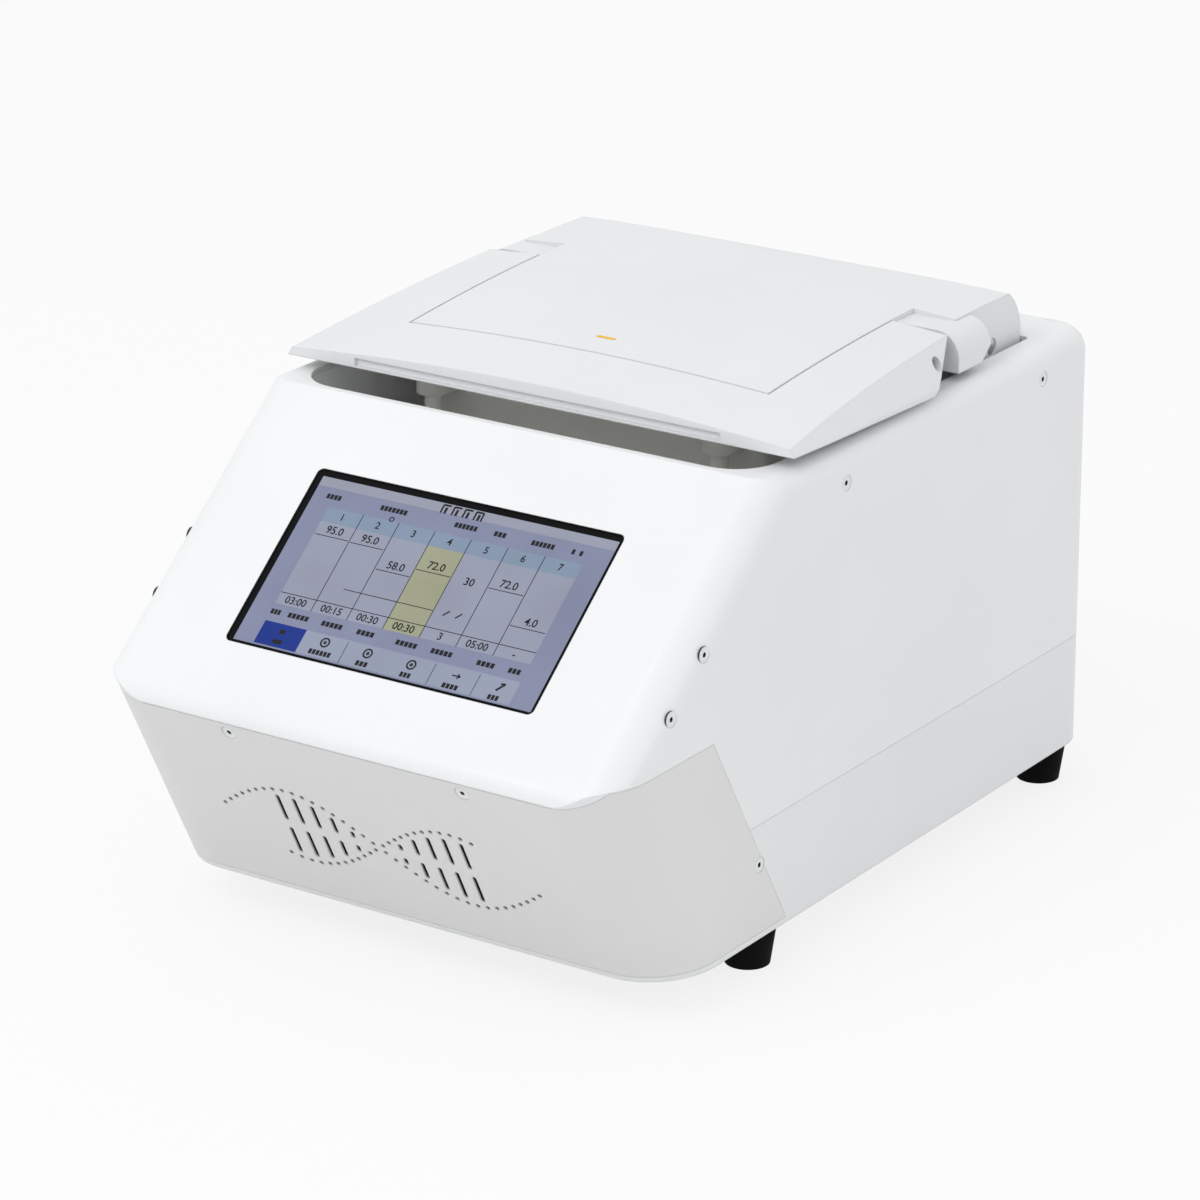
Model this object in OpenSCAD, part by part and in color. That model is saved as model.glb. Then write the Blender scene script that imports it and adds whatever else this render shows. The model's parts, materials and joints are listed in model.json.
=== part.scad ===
/* [Case] */
// Width of the case across its flat sides
body_w = 270; // [264:0.5:280]
// Depth of the case from the nose of the front to the rear face
body_d = 407.5; // [404:0.5:420]
// Height of the case from its underside to its top face
case_h = 202.5; // [200:0.5:208]
// Height of the rubber feet
foot_h = 20; // [14:0.5:26]
// Wall of the moulded shells
wall = 2.6; // [2:0.1:2.8]
// Radius of the two rear upright corners, seen from above
rear_r = 25; // [18:0.5:30]
// Radius along the long top edges of the case
top_r = 9; // [6:0.5:10]
// Radius of the top rear edge of the case
back_r = 18; // [17.5:0.5:19]
// Height of the level joint between base tray and upper cover
seam_h = 53; // [45:1:60]

/* [Front] */
// Height of the small upright band between the nose and the front panel
lip_band = 0.6; // [0.4:0.1:2]
// Angle by which the front panel leans back under the lip
undercut = 26.7; // [24:0.1:28]
// Rise angle of the display slope
slope = 39.7; // [39:0.1:40.5]
// Distance from the nose to the top end of the display slope
rim_back = 124.7; // [122:0.1:127]
// Radius of the nose, where the slope rolls over to the front panel
nose_r = 10.5; // [8:0.5:12]
// Radius of the two front corners, square to the front panel
front_r = 30; // [24:0.5:36]
// Radius of the case's two edges beside the display slope
slope_r = 16; // [15.5:0.5:18]
// Distance from the nose to the side joint of the front panel at the underside
panel_back = 137.5; // [132:0.5:142]
// Lean of the side joint of the front panel
panel_lean = 30.2; // [28:0.1:32]
// Height at which the side joint of the front panel ends
panel_top = 101.6; // [98:0.1:104]
// Height of the tray's edge below the front panel
tray_lip = 2.7; // [2.6:0.1:4]

/* [Vents] */
// Length of one full turn of the two strands of vent holes
strand_pitch = 172; // [160:1:178]
// Height of the strands above and below their axis
strand_amp = 22; // [18:0.5:24]
// Height of the strand axis, along the front panel from its lower edge
strand_up = 46.5; // [44:0.5:50]
// Half length of the longer strand
strand_long = 84; // [76:1:90]
// Half length of the shorter strand
strand_short = 56; // [50:1:60]
// Diameter of the strand holes
vent_d = 2.2; // [1.6:0.1:2.6]
// Spacing of the strand holes along their curve
vent_gap = 5.3; // [5:0.1:6]
// Number of slot columns on each side of the crossing
rungs = 5; // [3:1:5]
// Distance of the first slot column from the crossing
rung_start = 12.6; // [12:0.1:14]
// Spacing of the slot columns
rung_pitch = 8.95; // [8.5:0.05:9.2]
// Width of the slots
rung_w = 2.2; // [1.8:0.1:3]
// Web between the upper and lower slots
rung_web = 4.6; // [3.5:0.1:5]
// Distance that the slots keep from the strands
rung_clear = 3.4; // [3:0.1:4]

/* [Display] */
// Width of the display window
screen_w = 158.9; // [150:0.1:164]
// Height of the display window along the slope
screen_h = 88.9; // [82:0.1:92]
// Distance from the top end of the slope to the window
screen_drop = 39.5; // [36:0.5:42]
// Corner radius of the window
screen_r = 2; // [1:0.5:4]
// Width of the black seal round the glass
gasket_w = 0.9; // [0.6:0.1:1.5]
// Thickness of the touch glass
glass_t = 1.1; // [0.7:0.1:1.4]
// Depth of the glass below the slope
glass_sink = 0.3; // [0.1:0.1:0.5]
// Thickness of the display module behind the wall
module_t = 5.2; // [4:0.1:7]

/* [Sample bay] */
// Width of the level strip between the display slope and the bay
rim_land = 3.5; // [3.5:0.1:5]
// Half width of the bay in the top of the case
bay_half = 120.5; // [119.5:0.1:122]
// Distance from the nose to the rear end of the bay
bay_rear = 362.5; // [362.2:0.1:366]
// Radius of the front corners of the bay
bay_r = 21; // [16:0.5:24]
// Radius of the rear corners of the bay
bay_rear_r = 3; // [1:0.5:3.5]
// Depth of the bay floor below the top face
bay_depth = 36.5; // [36:0.5:40]
// Thickness of the bay tray
bay_wall = 2.4; // [2:0.1:2.4]
// Distance from the nose to the middle of the sample block
block_back = 248.5; // [246:0.5:251]
// Spacing of the wells
well_pitch = 9; // [9:0.5:9]
// Wells along the block
well_cols = 12; // [8:1:12]
// Wells across the block
well_rows = 8; // [4:1:8]
// Mouth diameter of a well
well_d = 6.2; // [5.8:0.1:6.6]
// Depth of a well
well_depth = 15; // [13:0.5:17]
// Margin of the block outside its wells
block_edge = 4.6; // [4:0.1:6]
// Height by which the block stands above the bay floor
block_proud = 4; // [3:0.5:5]
// Height of the sample block
block_h = 22; // [20:0.5:25]

/* [Lid] */
// Half width of the lid along its lower edge
lid_half = 133.7; // [132:0.1:135]
// Gap between the top face of the case and the lid
lid_gap = 5; // [4.5:0.1:6]
// Height of the lid's highest point above its lower edge
lid_rise = 22.7; // [21.5:0.1:23.5]
// Radius of the domed top of the lid
crown_r = 1480; // [1300:20:1700]
// Lean of the lid's sides
lid_lean = 31.6; // [28:0.5:34]
// Wall of the lid mouldings
lid_wall = 3; // [2.4:0.1:3.4]
// Distance from the nose to the hinge axis
hinge_back = 335; // [334:0.1:335.2]
// Radius of the rounded rear end of the lid about the hinge axis
barrel_r = 26; // [25:0.1:26.2]
// Half width of the rear end of the lid, inside the bay
barrel_half = 116.5; // [114:0.5:117.5]
// Distance from the nose to the rear edge of the lid's wings
wing_back = 314.5; // [312:0.5:317]
// Half width of the lid's wings
wing_half = 128; // [126:0.5:130]
// Radius of the wings' long edges
wing_r = 12; // [8:0.5:14]
// Diameter of the hinge shaft
shaft_d = 8; // [7:0.5:9]
// Distance from the nose to the front of the inner housing
housing_front = 184.5; // [183.5:0.5:186]
// Half width of the inner housing under the lid
housing_half = 90; // [88:0.5:91]
// Depth of the inner housing below the lower edge of the lid
housing_drop = 30.5; // [29.5:0.5:31]
// Thickness of the heated plate below its flange
plate_t = 5; // [4.5:0.5:5]
// Height by which the handle lifts the heated plate
plate_travel = 3; // [2:0.5:3]

/* [Handle] */
// Distance from the nose to the front edge of the handle
handle_front = 142; // [140:0.5:144]
// Length of the handle's front bar, front to back
bar_l = 39.5; // [38:0.5:41]
// Half width inside the handle's arms
arm_in = 95.3; // [95:0.1:96]
// Joint between the handle and the lid cover
seam = 0.8; // [0.6:0.1:1]
// Distance from the nose to the handle pivots
pivot_back = 266.5; // [265:0.5:268]
// Height of the handle pivots above the lower edge of the lid
pivot_up = 8.5; // [7.5:0.5:9]
// Diameter of the shaft that the handle turns on
pin_d = 6; // [5:0.5:6.5]
// Angle by which the handle lifts
handle_swing = 14; // [12:1:15]
// Width of the finger recess in the handle's front edge
grip_w = 192; // [160:2:200]
// Depth of the finger recess
grip_depth = 1.6; // [1:0.1:2]
// Distance from the nose to the catch magnets
catch_back = 173; // [171:0.5:174]

/* [Cooling] */
// Width of the heat sink
sink_w = 150; // [130:1:152]
// Length of the heat sink, front to back
sink_l = 170; // [150:1:172]
// Thickness of the heat sink's base
sink_base = 9; // [7:0.5:12]
// Height of the fins
fin_h = 48; // [40:1:54]
// Thickness of the fins
fin_t = 1.6; // [1.2:0.1:2]
// Number of fins
fins = 24; // [18:1:26]
// Size of the square fans
fan_s = 80; // [78:1:82]
// Depth of the fans
fan_t = 25; // [22:1:26]
// Distance of each fan's axis from the middle
fan_x = 50; // [48:1:52]
// Height of the fan axes above the underside
fan_up = 100; // [98:1:104]

/* [Fasteners] */
// Head diameter of the cover screws
screw_d = 5.6; // [5:0.1:6]
// Diameter of their recesses in the cover
recess_d = 7; // [6.6:0.1:8]
// Running clearance of pins and shafts, on the radius
fit = 0.05; // [0.02:0.01:0.1]
// Clearance of parts that drop in beside each other
play = 0.3; // [0.2:0.05:0.4]

/* [Hidden] */
$fn = 96;
fine = 360;
far = 600;

// A distance from the nose, turned into a place along Y
function back(d) = d - body_d / 2;
top_z = foot_h + case_h;
nose_up = case_h - (nose_r + (rim_back - nose_r) * sin(slope)) / cos(slope);
lip_h = nose_up - lip_band;
lid_z = top_z + lid_gap;
hinge_z = lid_z + lid_rise - barrel_r;
pivot_z = lid_z + pivot_up;
bay_front = rim_back + rim_land;
bay_z = top_z - bay_depth;
block_top = bay_z + block_proud;
block_w = (well_cols - 1) * well_pitch + well_d + 2 * block_edge;
block_l = (well_rows - 1) * well_pitch + well_d + 2 * block_edge;

// Draws an outline of distance back and height, extruded across the width
module across(w) {
    rotate([90, 0, 90])
        linear_extrude(height = w, center = true)
            translate([-body_d / 2, 0])
                children();
}

// Draws an outline of width and height, extruded from front to back
module lengthwise(from, to) {
    translate([0, back(to), 0])
        rotate([90, 0, 0])
            linear_extrude(height = to - from)
                children();
}

// A rectangle with rounded corners, about the middle
module rounded(w, h, r) {
    union() {
        square([w - 2 * r, h], center = true);
        square([w, h - 2 * r], center = true);
        for (x = [-1, 1], y = [-1, 1])
            translate([x * (w / 2 - r), y * (h / 2 - r)]) circle(r);
    }
}

// Places its children at a point of the width, the distance back and the height
module at(x, d, z) {
    translate([x, back(d), z]) children();
}

// Repeats its children on the left and on the right
module both() {
    children();
    mirror([1, 0, 0]) children();
}

// Height of the display slope above the underside, drawn in by i
function slope_up(d, i) = case_h - (rim_back - d) * tan(slope) - i / cos(slope);
// Distance back of the front panel at a height, drawn in by i
function panel_at(z, i) = (i - (z - lip_h) * sin(undercut)) / cos(undercut);
function lip_up(i) = lip_h + i * (1 - cos(undercut)) / sin(undercut);

// What a rounded corner takes off: its middle, radius and the two directions where its arc ends
module corner_cut(x, y, r, from, to) {
    mid = (from + to) / 2;
    translate([x, y])
        difference() {
            polygon([
                [0, 0],
                3 * r * [cos(from), sin(from)],
                6 * r * [cos(mid), sin(mid)],
                3 * r * [cos(to), sin(to)]]);
            circle(r);
        }
}

// Side outline of the case above its underside with sharp corners, drawn in by i
module case_side(i) {
    polygon([
        [panel_at(i, i), i],
        [i, lip_up(i)],
        [i, slope_up(i, i)],
        [rim_back + i * (1 / cos(slope) - 1) / tan(slope), case_h - i],
        [body_d - i, case_h - i],
        [body_d - i, i]]);
}

// Outline of the case from the front, with the rounded long edges
module case_face(i) {
    union() {
        translate([-body_w / 2 + i, 0]) square([body_w - 2 * i, case_h - top_r]);
        translate([-body_w / 2 + top_r, 0]) square([body_w - 2 * top_r, case_h - i]);
        for (s = [-1, 1])
            translate([s * (body_w / 2 - top_r), case_h - top_r]) circle(top_r - i);
    }
}

// Outline of the case from above, with the rear corners rounded
module case_plan(i) {
    union() {
        translate([-body_w / 2 + i, -body_d]) square([body_w - 2 * i, 2 * body_d - rear_r]);
        translate([-body_w / 2 + rear_r, -body_d]) square([body_w - 2 * rear_r, 2 * body_d - i]);
        for (s = [-1, 1])
            translate([s * (body_w / 2 - rear_r), body_d - rear_r]) circle(rear_r - i);
    }
}

// Outline of a face's two rounded side edges with radius r, drawn in by i
module face_corners(r, i) {
    union() {
        translate([-body_w / 2 + i, r]) square([body_w - 2 * i, 2 * body_d]);
        translate([-body_w / 2 + r, i]) square([body_w - 2 * r, 2 * body_d]);
        for (s = [-1, 1])
            translate([s * (body_w / 2 - r), r]) circle(r - i);
    }
}

// All that lies between the two rounded corners of the front, drawn in by i
module case_corners(i) {
    translate([0, 0, lip_h])
        rotate([undercut, 0, 0])
            translate([0, 0, -body_d])
                linear_extrude(height = 2 * body_d) face_corners(front_r, i);
}

// All that lies between the two rounded side edges of the display slope, drawn in by i
module slope_corners(i) {
    translate([0, 0, case_h - rim_back * tan(slope)])
        rotate([slope - 90, 0, 0])
            translate([0, 0, -body_d])
                linear_extrude(height = 2 * body_d) face_corners(slope_r, i);
}

// The whole outside of the case, drawn in by i
module case_block(i) {
    translate([0, 0, foot_h])
        difference() {
            intersection() {
                across(body_w) case_side(i);
                lengthwise(-1, body_d + 1) case_face(i);
                translate([0, -body_d / 2, -1]) linear_extrude(height = case_h + 2) case_plan(i);
                translate([0, -body_d / 2, 0]) case_corners(i);
                translate([0, -body_d / 2, 0]) slope_corners(i);
            }
            across(2 * body_w) corner_cut(nose_r, nose_up, nose_r - i, 180, 90 + slope);
            across(2 * body_w) corner_cut(body_d - back_r, case_h - back_r, back_r - i, 0, 90);
        }
}

module case_shell() {
    difference() {
        case_block(0);
        case_block(wall);
    }
}

// The side joint of the front panel: distance back at a height
function seam_at(z) = panel_back - z * tan(panel_lean);

// Side view of the room that the front panel takes
module panel_zone() {
    translate([0, foot_h])
        polygon([
            [-far, tray_lip],
            [seam_at(tray_lip), tray_lip],
            [seam_at(panel_top), panel_top],
            [(panel_top - lip_h) / tan(slope), panel_top],
            [0, lip_h],
            [-far, lip_h]]);
}

// Side view of the room that the base tray takes
module tray_zone() {
    translate([0, foot_h])
        polygon([
            [-far, -1],
            [-far, tray_lip],
            [seam_at(tray_lip), tray_lip],
            [seam_at(seam_h), seam_h],
            [far, seam_h],
            [far, -1]]);
}

// Side screws: distance back and height above the underside
side_screws = [[181.4, 186.7], [71.5, 143.4], [47, 122.9], [114.8, 34.3], [350.3, 188.3]];
// Front screws: half width and height above the underside
front_screw_x = 61;
front_screw_z = 88.6;
recess_depth = 1.4;
shank_d = 3;
shank_l = 9;
socket_d = 2.6;

// Puts its children at each cover screw, with local Z pointing out of the case
module at_screws() {
    both()
        for (p = side_screws)
            at(body_w / 2, p[0], foot_h + p[1]) rotate([0, 90, 0]) children();
    for (s = [-1, 1])
        at(s * front_screw_x, panel_at(front_screw_z, 0), foot_h + front_screw_z)
            rotate([90 + undercut, 0, 0]) children();
}

module screw_seats() {
    at_screws() {
        translate([0, 0, -recess_depth]) cylinder(d = recess_d, h = recess_depth + 1);
        translate([0, 0, -recess_depth - shank_l - play])
            cylinder(d = shank_d + 2 * play, h = recess_depth + shank_l + play);
    }
}

module cover_screws() {
    color([0.75, 0.76, 0.78])
        at_screws()
            difference() {
                union() {
                    translate([0, 0, -recess_depth]) cylinder(d = screw_d, h = recess_depth - play);
                    translate([0, 0, -recess_depth - shank_l]) cylinder(d = shank_d, h = shank_l);
                }
                translate([0, 0, -play - 1]) cylinder(d = socket_d, h = 2, $fn = 6);
            }
}

// Places its children on the display slope: local Y runs up it, local Z points out
screen_mid = rim_back - (screen_drop + screen_h / 2) * cos(slope);
module on_slope() {
    at(0, screen_mid, foot_h + slope_up(screen_mid, 0))
        rotate([slope, 0, 0]) children();
}

// Places its children on the front panel: local Y runs up it, local Z points out
module on_panel() {
    at(0, panel_at(0, 0), foot_h)
        rotate([90 + undercut, 0, 0]) children();
}

// The two strands of vent holes wind round each other like the two of a helix
function strand(x) = strand_amp * sin(-360 * x / strand_pitch);
function strand_slope(x) = 2 * PI * strand_amp / strand_pitch * cos(360 * x / strand_pitch);
function next_hole(x) = x + vent_gap / sqrt(1 + pow(strand_slope(x), 2));
function holes_to(x, end) = x > end ? [] : concat([x], holes_to(next_hole(x), end));
function rung_x(i) = rung_start + i * rung_pitch;
function rung_reach(i) = abs(strand(rung_x(i))) - rung_clear;

module vent_strand(half) {
    for (x = holes_to(vent_gap / 2, half), s = [-1, 1])
        translate([s * x, s * strand(x)]) circle(d = vent_d, $fn = 24);
}

// A slot with round ends between two heights
module rung(low, high) {
    translate([-rung_w / 2, low + rung_w / 2]) square([rung_w, high - low - rung_w]);
    translate([0, low + rung_w / 2]) circle(d = rung_w, $fn = 24);
    translate([0, high - rung_w / 2]) circle(d = rung_w, $fn = 24);
}

module vent_pattern() {
    translate([0, strand_up]) {
        vent_strand(strand_long);
        mirror([1, 0]) vent_strand(strand_short);
        for (i = [0:rungs - 1], s = [-1, 1], t = [-1, 1])
            if (rung_reach(i) > rung_web / 2 + 1.5 * rung_w)
                translate([s * rung_x(i), 0])
                    mirror([0, t < 0 ? 1 : 0])
                        rung(rung_web / 2, rung_reach(i));
    }
}

module front_panel() {
    color([0.9, 0.9, 0.89])
        difference() {
            intersection() {
                case_shell();
                across(body_w + 2) panel_zone();
            }
            screw_seats();
            on_panel() translate([0, 0, -2 * wall]) linear_extrude(height = 4 * wall) vent_pattern();
        }
}

boss_d = 9;
boss_h = 5;
chassis_t = 2;
chassis_z = foot_h + wall + boss_h;
// Bosses of the tray that carry the chassis: half width and distance back
tray_bosses = [[body_w / 2 - 39, 120], [body_w / 2 - 39, 250], [body_w / 2 - 39, body_d - 22.5]];
// Feet: half width and distances back
foot_x = body_w / 2 - 16;
foot_back = [130.5, body_d - 23];

module base_tray() {
    color([0.87, 0.88, 0.9])
        difference() {
            union() {
                intersection() {
                    case_shell();
                    across(body_w + 2) tray_zone();
                }
                both()
                    for (p = tray_bosses)
                        at(p[0], p[1], foot_h + wall) cylinder(d = boss_d, h = boss_h);
            }
            screw_seats();
            rear_window();
            both() {
                for (p = tray_bosses)
                    at(p[0], p[1], foot_h + wall + 1) cylinder(d = shank_d, h = boss_h);
                for (i = [0:13])
                    at(18 + i * 6, 190, foot_h - 1)
                        translate([-1.5, 0, 0]) cube([3, 90, wall + 2]);
            }
            for (d = foot_back)
                both() at(foot_x, d, foot_h - 1) cylinder(d = foot_peg_d + 2 * play, h = wall + 2);
        }
}

foot_top_d = 26;
foot_low_d = 20;
foot_peg_d = 6;

module foot(side, d) {
    color([0.09, 0.09, 0.1])
        at(side * foot_x, d, 0)
            difference() {
                union() {
                    cylinder(d1 = foot_low_d, d2 = foot_top_d, h = foot_h);
                    cylinder(d = foot_peg_d, h = foot_h + wall);
                }
                translate([0, 0, -1]) cylinder(d = foot_peg_d + 2, h = 5);
            }
}

// Outline of the bay from above, grown by g
module bay_plan(g) {
    w = bay_half + g;
    union() {
        translate([-w, bay_front + bay_r]) square([2 * w, bay_rear - bay_front - bay_r - bay_rear_r]);
        translate([-w + bay_r + g, bay_front - g])
            square([2 * (w - bay_r - g), bay_rear - bay_front - bay_r + g]);
        translate([-w + bay_rear_r + g, bay_rear - bay_rear_r - 1])
            square([2 * (w - bay_rear_r - g), bay_rear_r + g + 1]);
        for (s = [-1, 1]) {
            translate([s * (bay_half - bay_r), bay_front + bay_r]) circle(bay_r + g);
            translate([s * (bay_half - bay_rear_r), bay_rear - bay_rear_r]) circle(bay_rear_r + g);
        }
    }
}

module bay_prism(g, low, high) {
    translate([0, -body_d / 2, low]) linear_extrude(height = high - low) bay_plan(g);
}

// Opening in the rear wall that the rear panel closes
window_half = 106;
window_low = 12;
window_high = 150;
module rear_window() {
    at(-window_half, body_d - wall - 1, foot_h + window_low)
        cube([2 * window_half, wall + 2, window_high - window_low]);
}

module upper_cover() {
    color([0.94, 0.94, 0.93])
        difference() {
            case_shell();
            across(body_w + 2) panel_zone();
            across(body_w + 2) tray_zone();
            screw_seats();
            rear_window();
            bay_prism(0, top_z - wall - 1, top_z + 1);
            on_slope() translate([0, 0, -2 * wall])
                linear_extrude(height = 4 * wall)
                    rounded(screen_w + 2 * gasket_w, screen_h + 2 * gasket_w, screen_r + gasket_w);
        }
}

// The seal stands 0.1 mm off the cover and the glass
slip = 0.1;
module display_gasket() {
    color([0.05, 0.05, 0.06])
        on_slope() translate([0, 0, -wall])
            linear_extrude(height = wall - slip)
                difference() {
                    rounded(screen_w + 2 * gasket_w - 2 * slip, screen_h + 2 * gasket_w - 2 * slip,
                        screen_r + gasket_w);
                    rounded(screen_w, screen_h, screen_r);
                }
}

module touch_glass() {
    color([0.35, 0.38, 0.5])
        on_slope() translate([0, 0, -glass_sink - glass_t])
            linear_extrude(height = glass_t)
                rounded(screen_w - 2 * slip, screen_h - 2 * slip, screen_r);
}

module_edge = 5;
module display_module() {
    color([0.2, 0.21, 0.23])
        on_slope() {
            translate([0, 0, -wall])
                linear_extrude(height = wall - glass_sink - glass_t)
                    rounded(screen_w - 2 * slip, screen_h - 2 * slip, screen_r);
            translate([0, 0, -wall - module_t])
                linear_extrude(height = module_t)
                    rounded(screen_w + 2 * module_edge, screen_h + 2 * module_edge, screen_r);
        }
}

bracket_t = 1.5;
// Sheet bracket behind the display, with a window for its connectors and four ears
module display_bracket() {
    color([0.6, 0.61, 0.63])
        on_slope() translate([0, 0, -wall - module_t - bracket_t])
            difference() {
                union() {
                    linear_extrude(height = bracket_t)
                        rounded(screen_w + 2 * module_edge, screen_h + 2 * module_edge, screen_r);
                    for (s = [-1, 1], t = [-1, 1])
                        translate([s * (screen_w / 2 + module_edge + 5), t * screen_h / 3, 0]) {
                            translate([-7, -5, 0]) cube([12, 10, bracket_t]);
                            translate([0, 0, 0]) cylinder(d = 7, h = module_t + bracket_t);
                        }
                }
                translate([0, 0, -1])
                    linear_extrude(height = bracket_t + 2) rounded(screen_w - 40, screen_h - 30, 5);
            }
}

seal_w = 4;
seal_h = 2.5;
module bay_tray() {
    color([0.8, 0.81, 0.81])
        difference() {
            bay_prism(bay_wall, bay_z - bay_wall, top_z - wall);
            bay_prism(0, bay_z, top_z);
            at(0, block_back, bay_z - bay_wall - 1)
                linear_extrude(height = bay_wall + 2)
                    rounded(block_w + 2 * seal_w, block_l + 2 * seal_w, 4);
        }
}

module block_seal() {
    color([0.12, 0.12, 0.13])
        at(0, block_back, bay_z - seal_h)
            linear_extrude(height = seal_h + 1)
                difference() {
                    rounded(block_w + 2 * seal_w - 2 * slip, block_l + 2 * seal_w - 2 * slip, 4);
                    rounded(block_w + 2 * slip, block_l + 2 * slip, 2);
                }
}

well_tip_d = 2.6;
module sample_block() {
    color([0.72, 0.73, 0.75])
        difference() {
            at(0, block_back, block_top - block_h)
                linear_extrude(height = block_h) rounded(block_w, block_l, 2);
            for (i = [0:well_cols - 1], j = [0:well_rows - 1])
                at((i - (well_cols - 1) / 2) * well_pitch,
                    block_back + (j - (well_rows - 1) / 2) * well_pitch, block_top - well_depth)
                    cylinder(d1 = well_tip_d, d2 = well_d, h = well_depth + 0.01, $fn = 24);
        }
}

peltier_s = 34;
peltier_t = 3.5;
module peltier_modules() {
    color([0.93, 0.93, 0.9])
        for (i = [-1:1], j = [-0.5, 0.5])
            at(i * (peltier_s + 2) - peltier_s / 2, block_back + j * (peltier_s + 2) - peltier_s / 2,
                block_top - block_h - peltier_t)
                cube([peltier_s, peltier_s, peltier_t]);
}

sink_top = block_top - block_h - peltier_t;
// Width of the sink's edges that rest on the chassis
sink_rest = 3;
fin_reach = sink_w / 2 - sink_rest - 1;
module heat_sink() {
    color([0.7, 0.71, 0.73])
        union() {
            at(-sink_w / 2, block_back - sink_l / 2, sink_top - sink_base)
                cube([sink_w, sink_l, sink_base]);
            for (i = [0:fins - 1])
                at(-fin_reach + i * (2 * fin_reach - fin_t) / (fins - 1), block_back - sink_l / 2,
                    sink_top - sink_base - fin_h)
                    cube([fin_t, sink_l, fin_h + 0.01]);
        }
}

sheet_t = 1.6;
panel_margin = 4;
panel_d = body_d - wall - sheet_t;
fan_d = fan_s - 4;
hub_d = 34;
// The slots of one fan grille: rings that three spokes cross
module grille() {
    difference() {
        for (r = [12:7:fan_d / 2 - 2])
            difference() {
                circle(r + 4);
                circle(r);
            }
        for (a = [0:60:120])
            rotate(a + 30) square([fan_s, 3.4], center = true);
    }
}

inlet_x = 78;
inlet_up = 32;
switch_x = 38;
usb_x = -80;
inlet_w = 27.4;
inlet_h = 19.8;
switch_w = 13;
switch_h = 19.4;
usb_w = 14.5;
usb_h = 7.5;
module rear_panel() {
    color([0.75, 0.76, 0.77])
        difference() {
            at(-window_half - panel_margin, panel_d, foot_h + window_low - panel_margin)
                cube([2 * (window_half + panel_margin), sheet_t,
                    window_high - window_low + 2 * panel_margin]);
            for (s = [-1, 1])
                at(s * fan_x, body_d, foot_h + fan_up)
                    rotate([90, 0, 0]) linear_extrude(height = 3 * wall) grille();
            at(inlet_x - inlet_w / 2, panel_d - 1, foot_h + inlet_up - inlet_h / 2)
                cube([inlet_w, sheet_t + 2, inlet_h]);
            at(switch_x - switch_w / 2, panel_d - 1, foot_h + inlet_up - switch_h / 2)
                cube([switch_w, sheet_t + 2, switch_h]);
            at(usb_x - usb_w / 2, panel_d - 1, foot_h + inlet_up - usb_h / 2)
                cube([usb_w, sheet_t + 2, usb_h]);
        }
}

// A square axial fan seen from the rear, with its bore and the four arms of its motor
module fan_frame(side) {
    color([0.1, 0.1, 0.11])
        at(side * fan_x, panel_d, foot_h + fan_up)
            rotate([90, 0, 0])
                union() {
                    linear_extrude(height = fan_t)
                        difference() {
                            rounded(fan_s, fan_s, 4);
                            circle(d = fan_d);
                            for (s = [-1, 1], t = [-1, 1])
                                translate([s, t] * (fan_s / 2 - 4.3)) circle(d = 4.3);
                        }
                    translate([0, 0, fan_t - 3])
                        linear_extrude(height = 3)
                            union() {
                                circle(d = hub_d);
                                for (a = [45:90:315])
                                    rotate(a) translate([0, -2]) square([fan_d / 2 + 1, 4]);
                            }
                    translate([0, 0, fan_t - 16]) cylinder(d = 4, h = 14);
                }
}

blades = 7;
blade_gap = 1.2;
rotor_l = 17;
module fan_rotor(side) {
    color([0.16, 0.16, 0.17])
        at(side * fan_x, panel_d, foot_h + fan_up)
            rotate([90, 0, 0])
                translate([0, 0, fan_t - 4 - rotor_l])
                    difference() {
                        union() {
                            cylinder(d = hub_d, h = rotor_l);
                            intersection() {
                                cylinder(d = fan_d - 2 * blade_gap, h = rotor_l);
                                for (i = [0:blades - 1])
                                    rotate(i * 360 / blades)
                                        translate([hub_d / 2 - 2, 0, rotor_l / 2])
                                            rotate([38, 0, 0])
                                                translate([0, -14, -0.8]) cube([fan_d / 2, 28, 1.6]);
                            }
                        }
                        translate([0, 0, 4]) cylinder(d = 4 + 2 * fit, h = rotor_l);
                    }
}

// Sheet chassis: a floor on the tray's bosses and two uprights that carry the bay tray
upright_x = sink_w / 2 + 9;
upright_from = block_back - 98.5;
upright_to = block_back + 91.5;
chassis_half = body_w / 2 - wall - 6.4;
chassis_from = 78;
chassis_to = body_d - 17.5;
// Holes in the uprights for air, and the opening in the floor above the tray's slots
window_d = 52;
intake_from = 195;
intake_s = 100;
ledge_l = 120;
// Flanges that carry the bay tray
flange_w = 14;
module chassis() {
    color([0.66, 0.67, 0.69])
        difference() {
            union() {
                at(-chassis_half, chassis_from, chassis_z)
                    cube([2 * chassis_half, chassis_to - chassis_from, chassis_t]);
                both() {
                    at(upright_x, upright_from, chassis_z)
                        cube([chassis_t, upright_to - upright_from, bay_z - bay_wall - chassis_z]);
                    at(upright_x - flange_w, upright_from, bay_z - bay_wall - chassis_t)
                        cube([flange_w + chassis_t, upright_to - upright_from, chassis_t]);
                    at(sink_w / 2 - sink_rest, block_back - ledge_l / 2, sink_top - sink_base - chassis_t)
                        cube([upright_x - sink_w / 2 + sink_rest + 1, ledge_l, chassis_t]);
                }
            }
            both()
                for (p = tray_bosses)
                    at(p[0], p[1], chassis_z - 1) cylinder(d = shank_d + 1, h = chassis_t + 2);
            for (d = [upright_from + 45, upright_to - 45])
                at(0, d, chassis_z + window_d + 10)
                    rotate([0, 90, 0]) cylinder(d = window_d, h = far, center = true);
            at(-intake_s / 2, intake_from, chassis_z - 1) cube([intake_s, intake_s, chassis_t + 2]);
        }
}

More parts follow.
